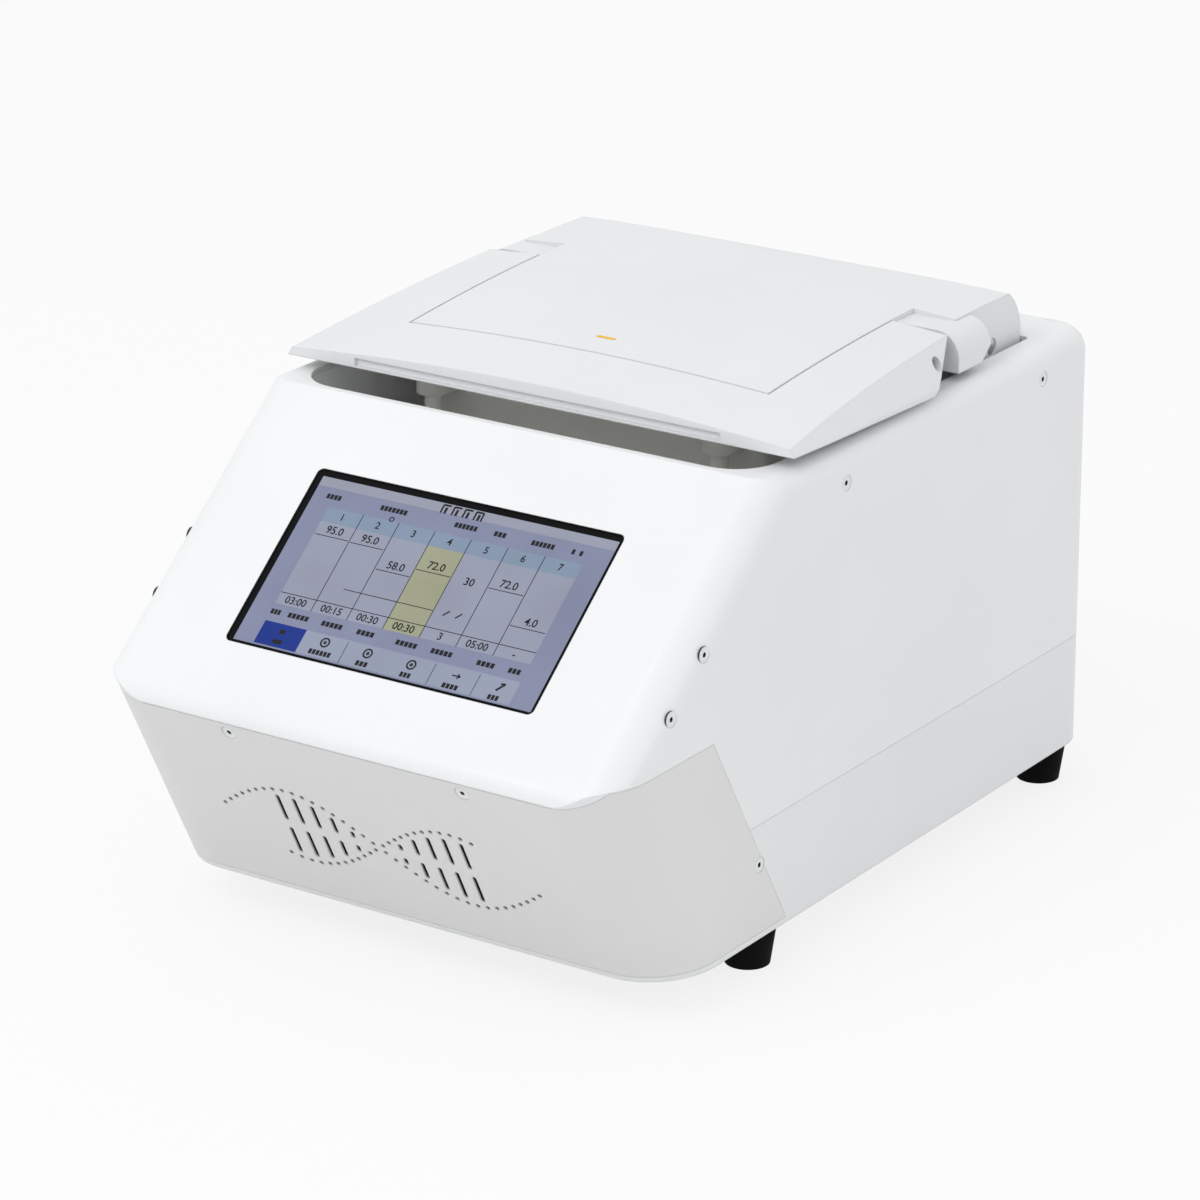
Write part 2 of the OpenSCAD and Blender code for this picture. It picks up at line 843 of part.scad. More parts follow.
supply_l = 160;
supply_h = 90;
supply_x = upright_x + chassis_t + 1;
supply_w = chassis_half - supply_x + 1;
supply_from = upright_to - supply_l + 15;
// Air holes in the side of the power supply
supply_hole_d = 5;
module power_supply() {
    color([0.55, 0.56, 0.58])
        difference() {
            at(-supply_x - supply_w, supply_from, chassis_z + chassis_t)
                cube([supply_w, supply_l, supply_h]);
            for (i = [0:9], j = [0:4])
                at(-supply_x - supply_w - 1, supply_from + 20 + i * 12, chassis_z + 24 + j * 14)
                    rotate([0, 90, 0]) cylinder(d = supply_hole_d, h = 3, $fn = 24);
        }
}

board_from = 82;
module main_board() {
    z = chassis_z + chassis_t + 6;
    color([0.1, 0.35, 0.2])
        union() {
            at(-75, board_from, z) cube([150, 100, 1.6]);
            for (s = [-1, 1], d = [board_from + 5, board_from + 95])
                at(s * 70, d, chassis_z + chassis_t) cylinder(d = 6, h = 7);
            at(-20, board_from + 30, z + 1) cube([32, 32, 3]);
            at(30, board_from + 20, z + 1) cube([20, 14, 12]);
            at(-62, board_from + 60, z + 1) cube([24, 16, 14]);
            for (i = [0:3])
                at(-60 + i * 9, board_from + 20, z + 1) cylinder(d = 7, h = 13);
        }
}

// Places its children on the rear panel: local Z points out of the case at the rear
module on_rear(x, up) {
    at(x, body_d - wall, foot_h + up) rotate([90, 0, 180]) children();
}

module power_inlet() {
    color([0.08, 0.08, 0.09])
        on_rear(inlet_x, inlet_up)
            difference() {
                union() {
                    linear_extrude(height = 2.2)
                        difference() {
                            rounded(50, 23, 5);
                            for (s = [-1, 1])
                                translate([s * 20, 0]) circle(d = 3.4);
                        }
                    translate([0, 0, -20])
                        linear_extrude(height = 21) rounded(inlet_w - 0.4, inlet_h - 0.4, 2);
                }
                translate([0, 0, -15])
                    linear_extrude(height = 20)
                        difference() {
                            rounded(24.6, 16.8, 2);
                            for (x = [-7, 0, 7])
                                translate([x, x == 0 ? 1 : -1]) square([2, 4], center = true);
                        }
            }
}

rocker_depth = 3;
rocker_swing = 20;
module switch_housing() {
    color([0.07, 0.07, 0.08])
        on_rear(switch_x, inlet_up)
            difference() {
                union() {
                    linear_extrude(height = 2) rounded(switch_w + 2, switch_h + 2, 1.5);
                    translate([0, 0, -16])
                        linear_extrude(height = 17) rounded(switch_w - 0.4, switch_h - 0.4, 1);
                }
                translate([-switch_w / 2 + 1.4, -switch_h / 2 + 1.4, -12.5])
                    cube([switch_w - 2.8, switch_h - 2.8, 16]);
                translate([0, 0, -rocker_depth])
                    rotate([0, 90, 0]) cylinder(d = 2 + 2 * fit, h = switch_w - 1.6, center = true);
            }
}

// The rocker is drawn in its off position, turned by half its swing
module switch_rocker() {
    r = switch_h / 2 - 1.4 - play;
    w = switch_w - 2.8 - 2 * play;
    color([0.1, 0.1, 0.11])
        on_rear(switch_x, inlet_up)
            translate([0, 0, -rocker_depth])
                rotate([rocker_swing / 2, 0, 0])
                    union() {
                        rotate([0, 90, 0])
                            linear_extrude(height = w, center = true)
                                intersection() {
                                    circle(r);
                                    polygon([[r, -4], [r, 4], [-2.5, r], [-4.4, 0], [-2.5, -r]]);
                                }
                        rotate([0, 90, 0]) cylinder(d = 2, h = switch_w - 2, center = true);
                    }
}

module usb_socket() {
    color([0.78, 0.79, 0.8])
        on_rear(usb_x, inlet_up)
            difference() {
                translate([0, 0, -16])
                    linear_extrude(height = 16.4) rounded(usb_w - 0.5, usb_h - 0.5, 0.6);
                translate([0, 0, -12])
                    linear_extrude(height = 20)
                        difference() {
                            rounded(usb_w - 1.5, usb_h - 1.5, 0.4);
                            translate([0, 1]) square([usb_w - 3.5, 2], center = true);
                        }
            }
}

hinge_x = 101;
bracket_w = 8;
bracket_l = 10;
// One of two cast brackets on the bay floor that hold the hinge shaft
module hinge_bracket(side) {
    color([0.62, 0.63, 0.65])
        at(side * hinge_x, hinge_back, 0)
            difference() {
                union() {
                    translate([-bracket_w / 2, -bracket_l / 2, bay_z])
                        cube([bracket_w, bracket_l, hinge_z - bay_z]);
                    translate([-bracket_w / 2 - 8, -12, bay_z]) cube([bracket_w + 16, 24, 3]);
                    translate([0, 0, hinge_z])
                        rotate([0, 90, 0]) cylinder(d = shaft_d + 8, h = bracket_w, center = true);
                }
                translate([0, 0, hinge_z])
                    rotate([0, 90, 0]) cylinder(d = shaft_d + 2 * fit, h = bracket_w + 2, center = true);
            }
}

module hinge_shaft() {
    color([0.8, 0.81, 0.83])
        at(0, hinge_back, hinge_z)
            rotate([0, 90, 0]) cylinder(d = shaft_d, h = 2 * barrel_half - 1, center = true);
}

// A coil spring along Z, swept from round wire
function coil_ring(r, wire, a, z, n) = [for (k = [0:n - 1])
    let (b = k * 360 / n)
    [(r + wire / 2 * cos(b)) * cos(a), (r + wire / 2 * cos(b)) * sin(a), z + wire / 2 * sin(b)]];
module coil(r, wire, turns, h) {
    sides = 6;
    steps = 16;
    total = turns * steps;
    points = [for (i = [0:total])
        each coil_ring(r, wire, i * 360 / steps, wire / 2 + (h - wire) * i / total, sides)];
    faces = concat(
        [[for (k = [0:sides - 1]) k]],
        [for (i = [0:total - 1], k = [0:sides - 1])
            let (a = i * sides + k, b = i * sides + (k + 1) % sides)
            [a, a + sides, b + sides, b]],
        [[for (k = [sides - 1:-1:0]) total * sides + k]]);
    polyhedron(points, faces, convexity = 8);
}

spring_wire = 1.6;
module hinge_springs() {
    color([0.4, 0.41, 0.43])
        both()
            at(hinge_x - bracket_w / 2 - play, hinge_back, hinge_z)
                rotate([0, -90, 0]) coil(shaft_d / 2 + spring_wire / 2 + play, spring_wire, 7, 15);
}

catch_x = 76;
magnet_d = 11;
magnet_t = 4;
catch_z = lid_z - 15;
// Steel posts on the bay floor that the lid's magnets meet
module catch_posts() {
    color([0.72, 0.73, 0.74])
        both()
            at(catch_x, catch_back, bay_z)
                union() {
                    cylinder(d = magnet_d + 3, h = 2);
                    cylinder(d = magnet_d - 3, h = catch_z - bay_z - play);
                }
}

// The domed top of the lid, highest above the hinge axis
module crown(i) {
    at(0, hinge_back, lid_z + lid_rise - crown_r)
        rotate([0, 90, 0]) sphere(crown_r - i, $fn = fine);
}

barrel_stop = 5;
cover_half = arm_in - seam;
cover_r = pivot_back - handle_front - bar_l - seam;

// Side view of the lid's wings, drawn in by i
module wing_side(i) {
    polygon([
        [pivot_back + 19.5 + i, lid_z - 1],
        [pivot_back + 23 + i, lid_z + far],
        [wing_back - i, lid_z + far],
        [wing_back - i, lid_z + 6],
        [wing_back - 8 - i, lid_z - 1]]);
}

module wing_face(i) {
    half = wing_half - i;
    high = lid_z + lid_rise - 5.5 - i;
    r = wing_r - i;
    union() {
        translate([-half, lid_z - 1 - i]) square([2 * half, high - r - lid_z + 1 + i]);
        translate([-half + r, lid_z - 1 - i]) square([2 * (half - r), high - lid_z + 1 + i]);
        for (s = [-1, 1])
            translate([s * (half - r), high - r]) circle(r);
    }
}

// The wings' flat ends meet the crown in the middle of the lid
module wings(i) {
    intersection() {
        across(body_w) wing_side(i);
        lengthwise(pivot_back, wing_back) wing_face(i);
    }
}

// Middle of the lid, from the joint with the handle to the hinge axis
module lid_middle(i, low) {
    intersection() {
        crown(i);
        across(2 * (cover_half - i))
            union() {
                translate([pivot_back, pivot_z])
                    difference() {
                        circle(cover_r - i);
                        translate([0, -far]) square([far, 2 * far]);
                    }
                translate([pivot_back - 1, low]) square([wing_back - pivot_back, far]);
            }
        at(-far / 2, 0, low) cube([far, far, far]);
    }
}

// The rounded rear end about the hinge axis
module barrel(i) {
    across(2 * (barrel_half - i))
        union() {
            translate([hinge_back, hinge_z]) circle(barrel_r - i);
            translate([wing_back - 12, hinge_z]) square([hinge_back - wing_back + 12, barrel_r - i]);
        }
}

module lid_outside(i, low) {
    lid_middle(i, low);
    wings(i);
    intersection() {
        barrel(i);
        crown(i);
    }
}

indicator_back = 198.5;
indicator_w = 9.6;
indicator_l = 1.9;
lens_t = 2.2;
function crown_up(d) = lid_rise - crown_r + sqrt(pow(crown_r, 2) - pow(hinge_back - d, 2));
module indicator_slot(g) {
    at(0, indicator_back, 0)
        linear_extrude(height = far) rounded(indicator_w + 2 * g, indicator_l + 2 * g, 0.8);
}

module lid_cover() {
    color([0.93, 0.93, 0.92])
        difference() {
            lid_outside(0, lid_z);
            difference() {
                lid_outside(lid_wall, lid_z - 1);
                both() at(housing_half, pivot_back, pivot_z)
                    rotate([0, 90, 0]) cylinder(d = pin_d + 8, h = cover_half - lid_wall - housing_half);
            }
            // Open underside and front of the barrel
            across(2 * (barrel_half - lid_wall))
                translate([hinge_back, hinge_z])
                    rotate(barrel_stop)
                        translate([-2 * barrel_r, -2 * barrel_r]) square([4 * barrel_r, 2 * barrel_r]);
            at(0, hinge_back, hinge_z)
                rotate([0, 90, 0]) cylinder(d = shaft_d + 2 * fit, h = far, center = true);
            at(0, pivot_back, pivot_z)
                rotate([0, 90, 0]) cylinder(d = pin_d + 2 * fit, h = far, center = true);
            indicator_slot(0.1);
        }
}

module indicator_lens() {
    color([0.95, 0.65, 0.2])
        intersection() {
            indicator_slot(0);
            difference() {
                crown(0);
                crown(lens_t);
            }
        }
}

housing_rear = 300;
housing_l = housing_rear - housing_front;
housing_mid = (housing_rear + housing_front) / 2;
plate_w = block_w + 4;
plate_l = block_l + 4;
flange = 4;
flange_t = 3;
post_h = 13;
// Thinner collar of the housing inside the lid: its height and how far it steps in
collar_h = 4;
collar_in = 1.2;
module lid_housing() {
    floor_z = lid_z - housing_drop;
    color([0.5, 0.5, 0.47])
        difference() {
            union() {
                at(0, housing_mid, floor_z)
                    linear_extrude(height = housing_drop)
                        difference() {
                            rounded(2 * housing_half, housing_l, 6);
                            rounded(2 * (housing_half - lid_wall), housing_l - 2 * lid_wall, 3);
                        }
                at(0, housing_mid, lid_z - 1)
                    linear_extrude(height = collar_h + 1)
                        difference() {
                            rounded(2 * (housing_half - collar_in), housing_l - 2 * collar_in, 5);
                            rounded(2 * (housing_half - lid_wall), housing_l - 2 * lid_wall, 3);
                        }
                at(0, housing_mid, floor_z)
                    linear_extrude(height = lid_wall) rounded(2 * housing_half, housing_l, 6);
                for (s = [-1, 1], t = [-1, 1])
                    at(s * (plate_w / 2 + 9), block_back + t * (plate_l / 2 - 10), floor_z)
                        cylinder(d = 7, h = post_h);
                both() catch_lug();
            }
            at(0, block_back, floor_z - 1)
                linear_extrude(height = lid_wall + 2) rounded(plate_w + 2 * play, plate_l + 2 * play, 3);
            both()
                at(catch_x, catch_back, catch_z - 1) cylinder(d = magnet_d + 2 * slip, h = magnet_t + 1);
        }
}

// Lug on the front of the housing that holds a magnet from below
module catch_lug() {
    half = magnet_d / 2 + 2;
    at(catch_x, catch_back, catch_z) cylinder(r = half, h = magnet_t + 3);
    at(catch_x - half, catch_back, catch_z)
        cube([2 * half, housing_front - catch_back + 1, magnet_t + 3]);
}

module catch_magnets() {
    color([0.78, 0.78, 0.8])
        both()
            at(catch_x, catch_back, catch_z) cylinder(d = magnet_d, h = magnet_t);
}

module heated_plate() {
    floor_z = lid_z - housing_drop;
    color([0.68, 0.69, 0.7])
        at(0, block_back, floor_z + lid_wall)
            union() {
                translate([0, 0, -plate_t])
                    linear_extrude(height = plate_t) rounded(plate_w, plate_l, 3);
                linear_extrude(height = flange_t)
                    rounded(plate_w + 2 * flange, plate_l + 2 * flange, 3);
            }
}

plate_spring_r = 4;
spring_wire_fine = 1;
module plate_springs() {
    low = lid_z - housing_drop + lid_wall + flange_t;
    high = lid_z - housing_drop + post_h;
    color([0.45, 0.46, 0.48])
        for (s = [-1, 1], t = [-1, 1])
            at(s * (plate_w / 2 - 12), block_back + t * (plate_l / 2 - 12), low + 0.02)
                coil(plate_spring_r, spring_wire_fine, 4, high - low - 0.04);
}

// Plate that presses the springs down, with two forks that the shaft's levers lift
lever_x = 50;
lever_t = 5;
lever_l = plate_travel / (handle_swing * PI / 180);
fork_pin_d = 3;
fork_z = pivot_z + play + fork_pin_d / 2;
module pressure_plate() {
    low = lid_z - housing_drop + post_h;
    ear = fork_pin_d / 2 + 0.7;
    color([0.6, 0.61, 0.62])
        union() {
            at(0, block_back, low)
                linear_extrude(height = 2)
                    difference() {
                        rounded(plate_w + 26, plate_l, 4);
                        rounded(plate_w - 50, plate_l - 40, 8);
                    }
            both() {
                for (s = [-1, 1])
                    at(lever_x + s * (lever_t / 2 + play + 1) - 1, pivot_back - lever_l - ear, low)
                        cube([2, 2 * ear, fork_z + ear - low]);
                at(lever_x - lever_t / 2 - play - 1, pivot_back - lever_l, fork_z)
                    rotate([0, 90, 0]) cylinder(d = fork_pin_d, h = lever_t + 2 * play + 2);
            }
        }
}

// Side view of the handle: level front bar, arms, and the slanted ends behind the pivots
module yoke_side(i) {
    polygon([
        [handle_front + i, lid_z + 0.6 - 2 * i],
        [pivot_back - 10.2 - 0.6 * i, lid_z - 2.6 - 2 * i],
        [pivot_back + 17 - 1.8 * i, lid_z + 16.5],
        [pivot_back + 17 - 1.8 * i, lid_z + far],
        [handle_front + i, lid_z + far]]);
}

// Front view of the handle, with its leaning sides
module yoke_face(i) {
    tall = 40;
    half = lid_half - i / cos(lid_lean);
    polygon([
        [-half, lid_z], [-half, lid_z - tall], [half, lid_z - tall], [half, lid_z],
        [half - tall * tan(lid_lean), lid_z + tall], [-half + tall * tan(lid_lean), lid_z + tall]]);
}

// The room between the arms that the lid cover fills, grown by i
module yoke_gap(i) {
    across(2 * (arm_in + i))
        union() {
            translate([pivot_back, pivot_z]) circle(cover_r + seam + i);
            translate([pivot_back, lid_z - far / 2]) square([far, far]);
        }
}

module yoke_body(i) {
    difference() {
        intersection() {
            crown(i);
            across(body_w) yoke_side(i);
            lengthwise(handle_front - 1, pivot_back + 60) yoke_face(i);
        }
        yoke_gap(i);
    }
}

grip_low = 1.6;
grip_high = 5;
hub_wall = 4;
hub_l = 26;
module handle_yoke() {
    color([0.94, 0.94, 0.93])
        difference() {
            yoke_body(0);
            difference() {
                yoke_body(lid_wall);
                both() at(arm_in, pivot_back, pivot_z)
                    rotate([0, 90, 0]) cylinder(d = pin_d + 2 * hub_wall, h = hub_l);
            }
            both() at(arm_in - 1, pivot_back, pivot_z)
                rotate([0, 90, 0]) cylinder(d = pin_d + 2 * fit, h = far);
            at(-grip_w / 2, handle_front - 1, lid_z + grip_low)
                cube([grip_w, 1 + grip_depth, grip_high - grip_low]);
        }
}

// Cross shaft keyed into both arms; its two levers lift the forks of the pressure plate
shaft_out = 28;
module lift_shaft() {
    color([0.55, 0.56, 0.58])
        at(0, pivot_back, pivot_z)
            union() {
                rotate([0, 90, 0])
                    cylinder(d = pin_d, h = 2 * (cover_half + seam + shaft_out), center = true);
                both()
                    translate([lever_x - lever_t / 2, 0, 0]) {
                        translate([0, -lever_l - 2, -3.5]) cube([lever_t, lever_l + 2, 3.5]);
                        translate([0, 0, 0]) rotate([0, 90, 0]) cylinder(d = pin_d + 4, h = lever_t);
                    }
            }
}

base_tray();
front_panel();
upper_cover();
rear_panel();
chassis();
cover_screws();
foot(-1, foot_back[0]);  // foot_front_left
foot(1, foot_back[0]);  // foot_front_right
foot(-1, foot_back[1]);  // foot_rear_left
foot(1, foot_back[1]);  // foot_rear_right
display_gasket();
touch_glass();
display_module();
display_bracket();
bay_tray();
block_seal();
sample_block();
peltier_modules();
heat_sink();
fan_frame(-1);  // fan_frame_left
fan_frame(1);  // fan_frame_right
fan_rotor(-1);  // fan_rotor_left
fan_rotor(1);  // fan_rotor_right
power_supply();
main_board();
power_inlet();
switch_housing();
switch_rocker();
usb_socket();
hinge_bracket(-1);  // hinge_bracket_left
hinge_bracket(1);  // hinge_bracket_right
hinge_shaft();
hinge_springs();
catch_posts();
lid_cover();
lid_housing();
heated_plate();
plate_springs();
pressure_plate();
indicator_lens();
catch_magnets();
handle_yoke();
lift_shaft();
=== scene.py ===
import json
from math import cos, pi, radians, sin

import bmesh
import bpy
from mathutils import Matrix, Vector

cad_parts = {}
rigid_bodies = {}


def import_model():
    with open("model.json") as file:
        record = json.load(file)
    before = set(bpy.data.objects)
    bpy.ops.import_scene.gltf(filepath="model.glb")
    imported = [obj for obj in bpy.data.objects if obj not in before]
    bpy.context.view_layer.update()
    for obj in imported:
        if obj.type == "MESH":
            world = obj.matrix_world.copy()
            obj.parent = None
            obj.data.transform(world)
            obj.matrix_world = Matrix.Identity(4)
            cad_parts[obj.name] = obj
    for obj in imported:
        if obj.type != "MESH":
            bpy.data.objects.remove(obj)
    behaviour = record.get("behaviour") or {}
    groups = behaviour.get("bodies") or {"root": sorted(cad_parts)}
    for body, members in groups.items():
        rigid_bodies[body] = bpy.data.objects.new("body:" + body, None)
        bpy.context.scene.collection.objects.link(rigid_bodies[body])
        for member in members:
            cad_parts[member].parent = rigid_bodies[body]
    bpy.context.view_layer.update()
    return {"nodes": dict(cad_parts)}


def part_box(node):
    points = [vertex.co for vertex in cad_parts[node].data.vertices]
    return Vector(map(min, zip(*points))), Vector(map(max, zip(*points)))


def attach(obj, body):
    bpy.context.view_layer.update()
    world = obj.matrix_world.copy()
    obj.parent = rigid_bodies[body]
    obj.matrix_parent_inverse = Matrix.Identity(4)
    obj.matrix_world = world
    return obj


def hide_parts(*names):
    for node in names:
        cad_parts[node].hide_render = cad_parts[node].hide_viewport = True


for spare in list(bpy.data.objects):
    bpy.data.objects.remove(spare)
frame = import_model()
pieces = frame["nodes"]

# The photograph's camera
# It stands in front of the display, to the right of the instrument and above it,
# far enough away for nearly parallel edges.
camera_azimuth = radians(34.4)
camera_elevation = radians(20.18)
camera_roll = radians(-0.25)
camera_distance = 2.1985
camera_lens = 146.34
camera_target = Vector((-0.01018, 0.00375, 0.11629))

toward = Vector((
    sin(camera_azimuth) * cos(camera_elevation),
    -cos(camera_azimuth) * cos(camera_elevation),
    sin(camera_elevation)))
level = Vector((cos(camera_azimuth), sin(camera_azimuth), 0))
upright = toward.cross(level)
across = level * cos(camera_roll) + upright * sin(camera_roll)
upward = upright * cos(camera_roll) - level * sin(camera_roll)

camera_data = bpy.data.cameras.new("camera")
camera_data.lens = camera_lens
camera_data.sensor_width = 36
camera = bpy.data.objects.new("camera", camera_data)
camera.matrix_world = Matrix.Translation(camera_target + toward * camera_distance) @ Matrix((
    across, upward, toward)).transposed().to_4x4()
bpy.context.scene.collection.objects.link(camera)
bpy.context.scene.camera = camera
bpy.context.scene.view_settings.view_transform = "Standard"

# The studio: a white floor, a pale room and three soft boxes
# The lamps light the case about as bright as it is painted, and rays that go straight to
# the camera or mirror in the glass meet a white room.
room_light = 0.88
floor_half = 7.0
floor_glow = 0.82
paper_white = (0.80, 0.805, 0.81)
lamps = {
    "lamp_top": {"at": (-0.2, 0.2, 2.0), "size": 1.7, "power": 1.0},
    "lamp_side": {"at": (2.3, -0.5, 1.0), "size": 1.5, "power": 4.0},
    "lamp_slope": {"at": (-0.4, -1.5, 1.8), "size": 1.2, "power": 13.0},
}


def seen_directly(tree):
    """1 for rays from the camera and for those that glossy or clear surfaces send on."""
    path = tree.nodes.new("ShaderNodeLightPath")
    first = tree.nodes.new("ShaderNodeMath")
    first.operation = "MAXIMUM"
    tree.links.new(path.outputs["Is Camera Ray"], first.inputs[0])
    tree.links.new(path.outputs["Is Glossy Ray"], first.inputs[1])
    both = tree.nodes.new("ShaderNodeMath")
    both.operation = "MAXIMUM"
    tree.links.new(first.outputs[0], both.inputs[0])
    tree.links.new(path.outputs["Is Transmission Ray"], both.inputs[1])
    return both.outputs[0]


room = bpy.data.worlds.new("room")
bpy.context.scene.world = room
room.use_nodes = True
tree = room.node_tree
ambient = tree.nodes["Background"]
ambient.inputs["Color"].default_value = (0.97, 0.985, 1, 1)
ambient.inputs["Strength"].default_value = room_light
white_room = tree.nodes.new("ShaderNodeBackground")
white_room.inputs["Color"].default_value = (1, 1, 1, 1)
mix = tree.nodes.new("ShaderNodeMixShader")
tree.links.new(seen_directly(tree), mix.inputs[0])
tree.links.new(ambient.outputs[0], mix.inputs[1])
tree.links.new(white_room.outputs[0], mix.inputs[2])
tree.links.new(mix.outputs[0], tree.nodes["World Output"].inputs["Surface"])

for name, lamp in lamps.items():
    data = bpy.data.lights.new(name, "AREA")
    data.size = lamp["size"]
    data.energy = lamp["power"]
    item = bpy.data.objects.new(name, data)
    item.location = lamp["at"]
    item.rotation_euler = (camera_target - item.location).to_track_quat("-Z", "Y").to_euler()
    bpy.context.scene.collection.objects.link(item)

paper = bpy.data.materials.new("floor_paper")
paper.use_nodes = True
tree = paper.node_tree
sheet = tree.nodes["Principled BSDF"]
sheet.inputs["Base Color"].default_value = (*paper_white, 1)
sheet.inputs["Roughness"].default_value = 0.9
sheet.inputs["Specular IOR Level"].default_value = 0.1
glow = tree.nodes.new("ShaderNodeEmission")
glow.inputs["Color"].default_value = (1, 1, 1, 1)
seen = tree.nodes.new("ShaderNodeMath")
seen.operation = "MULTIPLY"
seen.inputs[1].default_value = floor_glow
tree.links.new(seen_directly(tree), seen.inputs[0])
mix = tree.nodes.new("ShaderNodeMixShader")
tree.links.new(seen.outputs[0], mix.inputs[0])
tree.links.new(sheet.outputs[0], mix.inputs[1])
tree.links.new(glow.outputs[0], mix.inputs[2])
tree.links.new(mix.outputs[0], tree.nodes["Material Output"].inputs["Surface"])

floor_mesh = bpy.data.meshes.new("floor")
floor_mesh.from_pydata(
    [(-floor_half, -floor_half, 0), (floor_half, -floor_half, 0),
     (floor_half, floor_half, 0), (-floor_half, floor_half, 0)], [], [(0, 1, 2, 3)])
floor_mesh.materials.append(paper)
floor = bpy.data.objects.new("floor", floor_mesh)
bpy.context.scene.collection.objects.link(floor)

# Upper cover
# An injection moulding in white ABS with a fine satin grain, dropped over the base tray and
# held by small screws. Its two upright rear corners run over into its top in one soft curve,
# widest at the rear, and the solid's edge is cut back to that curve.
cover_white = (0.80, 0.804, 0.805)
mould_edge = 0.0009
corner_r = 0.025
rear_roll = 0.018
side_roll = 0.009
corner_skin = 0.00003
cut_reach = 0.015
lining = 0.0013
corner_turns = 24
corner_rises = 14
weld = 1e-7
sharp_from = radians(24)
noise_low = 0.3
noise_high = 0.7


def finish(name, colour, roughness, metallic=0.0, edge=0.0):
    """A new material with plain values on its shader, its edges rounded by edge in metres."""
    material = bpy.data.materials.new(name)
    material.use_nodes = True
    shader = material.node_tree.nodes["Principled BSDF"]
    shader.inputs["Base Color"].default_value = (*colour, 1)
    shader.inputs["Roughness"].default_value = roughness
    shader.inputs["Metallic"].default_value = metallic
    if edge:
        rounding = material.node_tree.nodes.new("ShaderNodeBevel")
        rounding.samples = 4
        rounding.inputs["Radius"].default_value = edge
        material.node_tree.links.new(rounding.outputs[0], shader.inputs["Normal"])
    return material


def noise(material, scale, detail=3.0, stretch=(1, 1, 1)):
    """Noise in the object's own metres, with scale features in each metre."""
    tree = material.node_tree
    place = tree.nodes.new("ShaderNodeTexCoord")
    mapping = tree.nodes.new("ShaderNodeMapping")
    mapping.inputs["Scale"].default_value = stretch
    texture = tree.nodes.new("ShaderNodeTexNoise")
    texture.inputs["Scale"].default_value = scale
    texture.inputs["Detail"].default_value = detail
    tree.links.new(place.outputs["Object"], mapping.inputs["Vector"])
    tree.links.new(mapping.outputs["Vector"], texture.inputs["Vector"])
    return texture.outputs[0]


def shade_range(material, pattern, low, high):
    """The pattern as a number from low to high."""
    spread = material.node_tree.nodes.new("ShaderNodeMapRange")
    spread.inputs["From Min"].default_value = noise_low
    spread.inputs["From Max"].default_value = noise_high
    spread.inputs["To Min"].default_value = low
    spread.inputs["To Max"].default_value = high
    material.node_tree.links.new(pattern, spread.inputs["Value"])
    return spread.outputs[0]


def tinted(material, pattern, dark, light):
    """Colours the surface from dark to light along the pattern."""
    tree = material.node_tree
    ramp = tree.nodes.new("ShaderNodeValToRGB")
    ramp.color_ramp.elements[0].position = noise_low
    ramp.color_ramp.elements[0].color = (*dark, 1)
    ramp.color_ramp.elements[1].position = noise_high
    ramp.color_ramp.elements[1].color = (*light, 1)
    tree.links.new(pattern, ramp.inputs["Fac"])
    shader = tree.nodes["Principled BSDF"]
    tree.links.new(ramp.outputs["Color"], shader.inputs["Base Color"])


def glossed(material, pattern, low, high):
    """Varies the roughness between low and high."""
    shader = material.node_tree.nodes["Principled BSDF"]
    gloss = shade_range(material, pattern, low, high)
    material.node_tree.links.new(gloss, shader.inputs["Roughness"])


def grained(material, pattern, depth, strength=0.5):
    """Raises the pattern off the surface by depth in metres, over the rounded edges."""
    tree = material.node_tree
    shader = tree.nodes["Principled BSDF"]
    bump = tree.nodes.new("ShaderNodeBump")
    bump.inputs["Strength"].default_value = strength
    bump.inputs["Distance"].default_value = depth
    if shader.inputs["Normal"].links:
        tree.links.new(shader.inputs["Normal"].links[0].from_socket, bump.inputs["Normal"])
    tree.links.new(pattern, bump.inputs["Height"])
    tree.links.new(bump.outputs["Normal"], shader.inputs["Normal"])


def scaled(colour, by):
    return tuple(min(1.0, by * part) for part in colour)


def satin_moulding(name, colour, roughness=0.42, edge=mould_edge):
    """Moulded plastic: a fine spark-eroded grain, a faint flow mottle, a little handling gloss."""
    material = finish(name, colour, roughness, edge=edge)
    tinted(material, noise(material, 9), scaled(colour, 0.975), scaled(colour, 1.015))
    glossed(material, noise(material, 22), roughness - 0.05, roughness + 0.06)
    grained(material, noise(material, 1500, 2), 0.00003, 0.35)
    return material


def painted(material, *names):
    for name in names:
        pieces[name].data.materials.clear()
        pieces[name].data.materials.append(material)


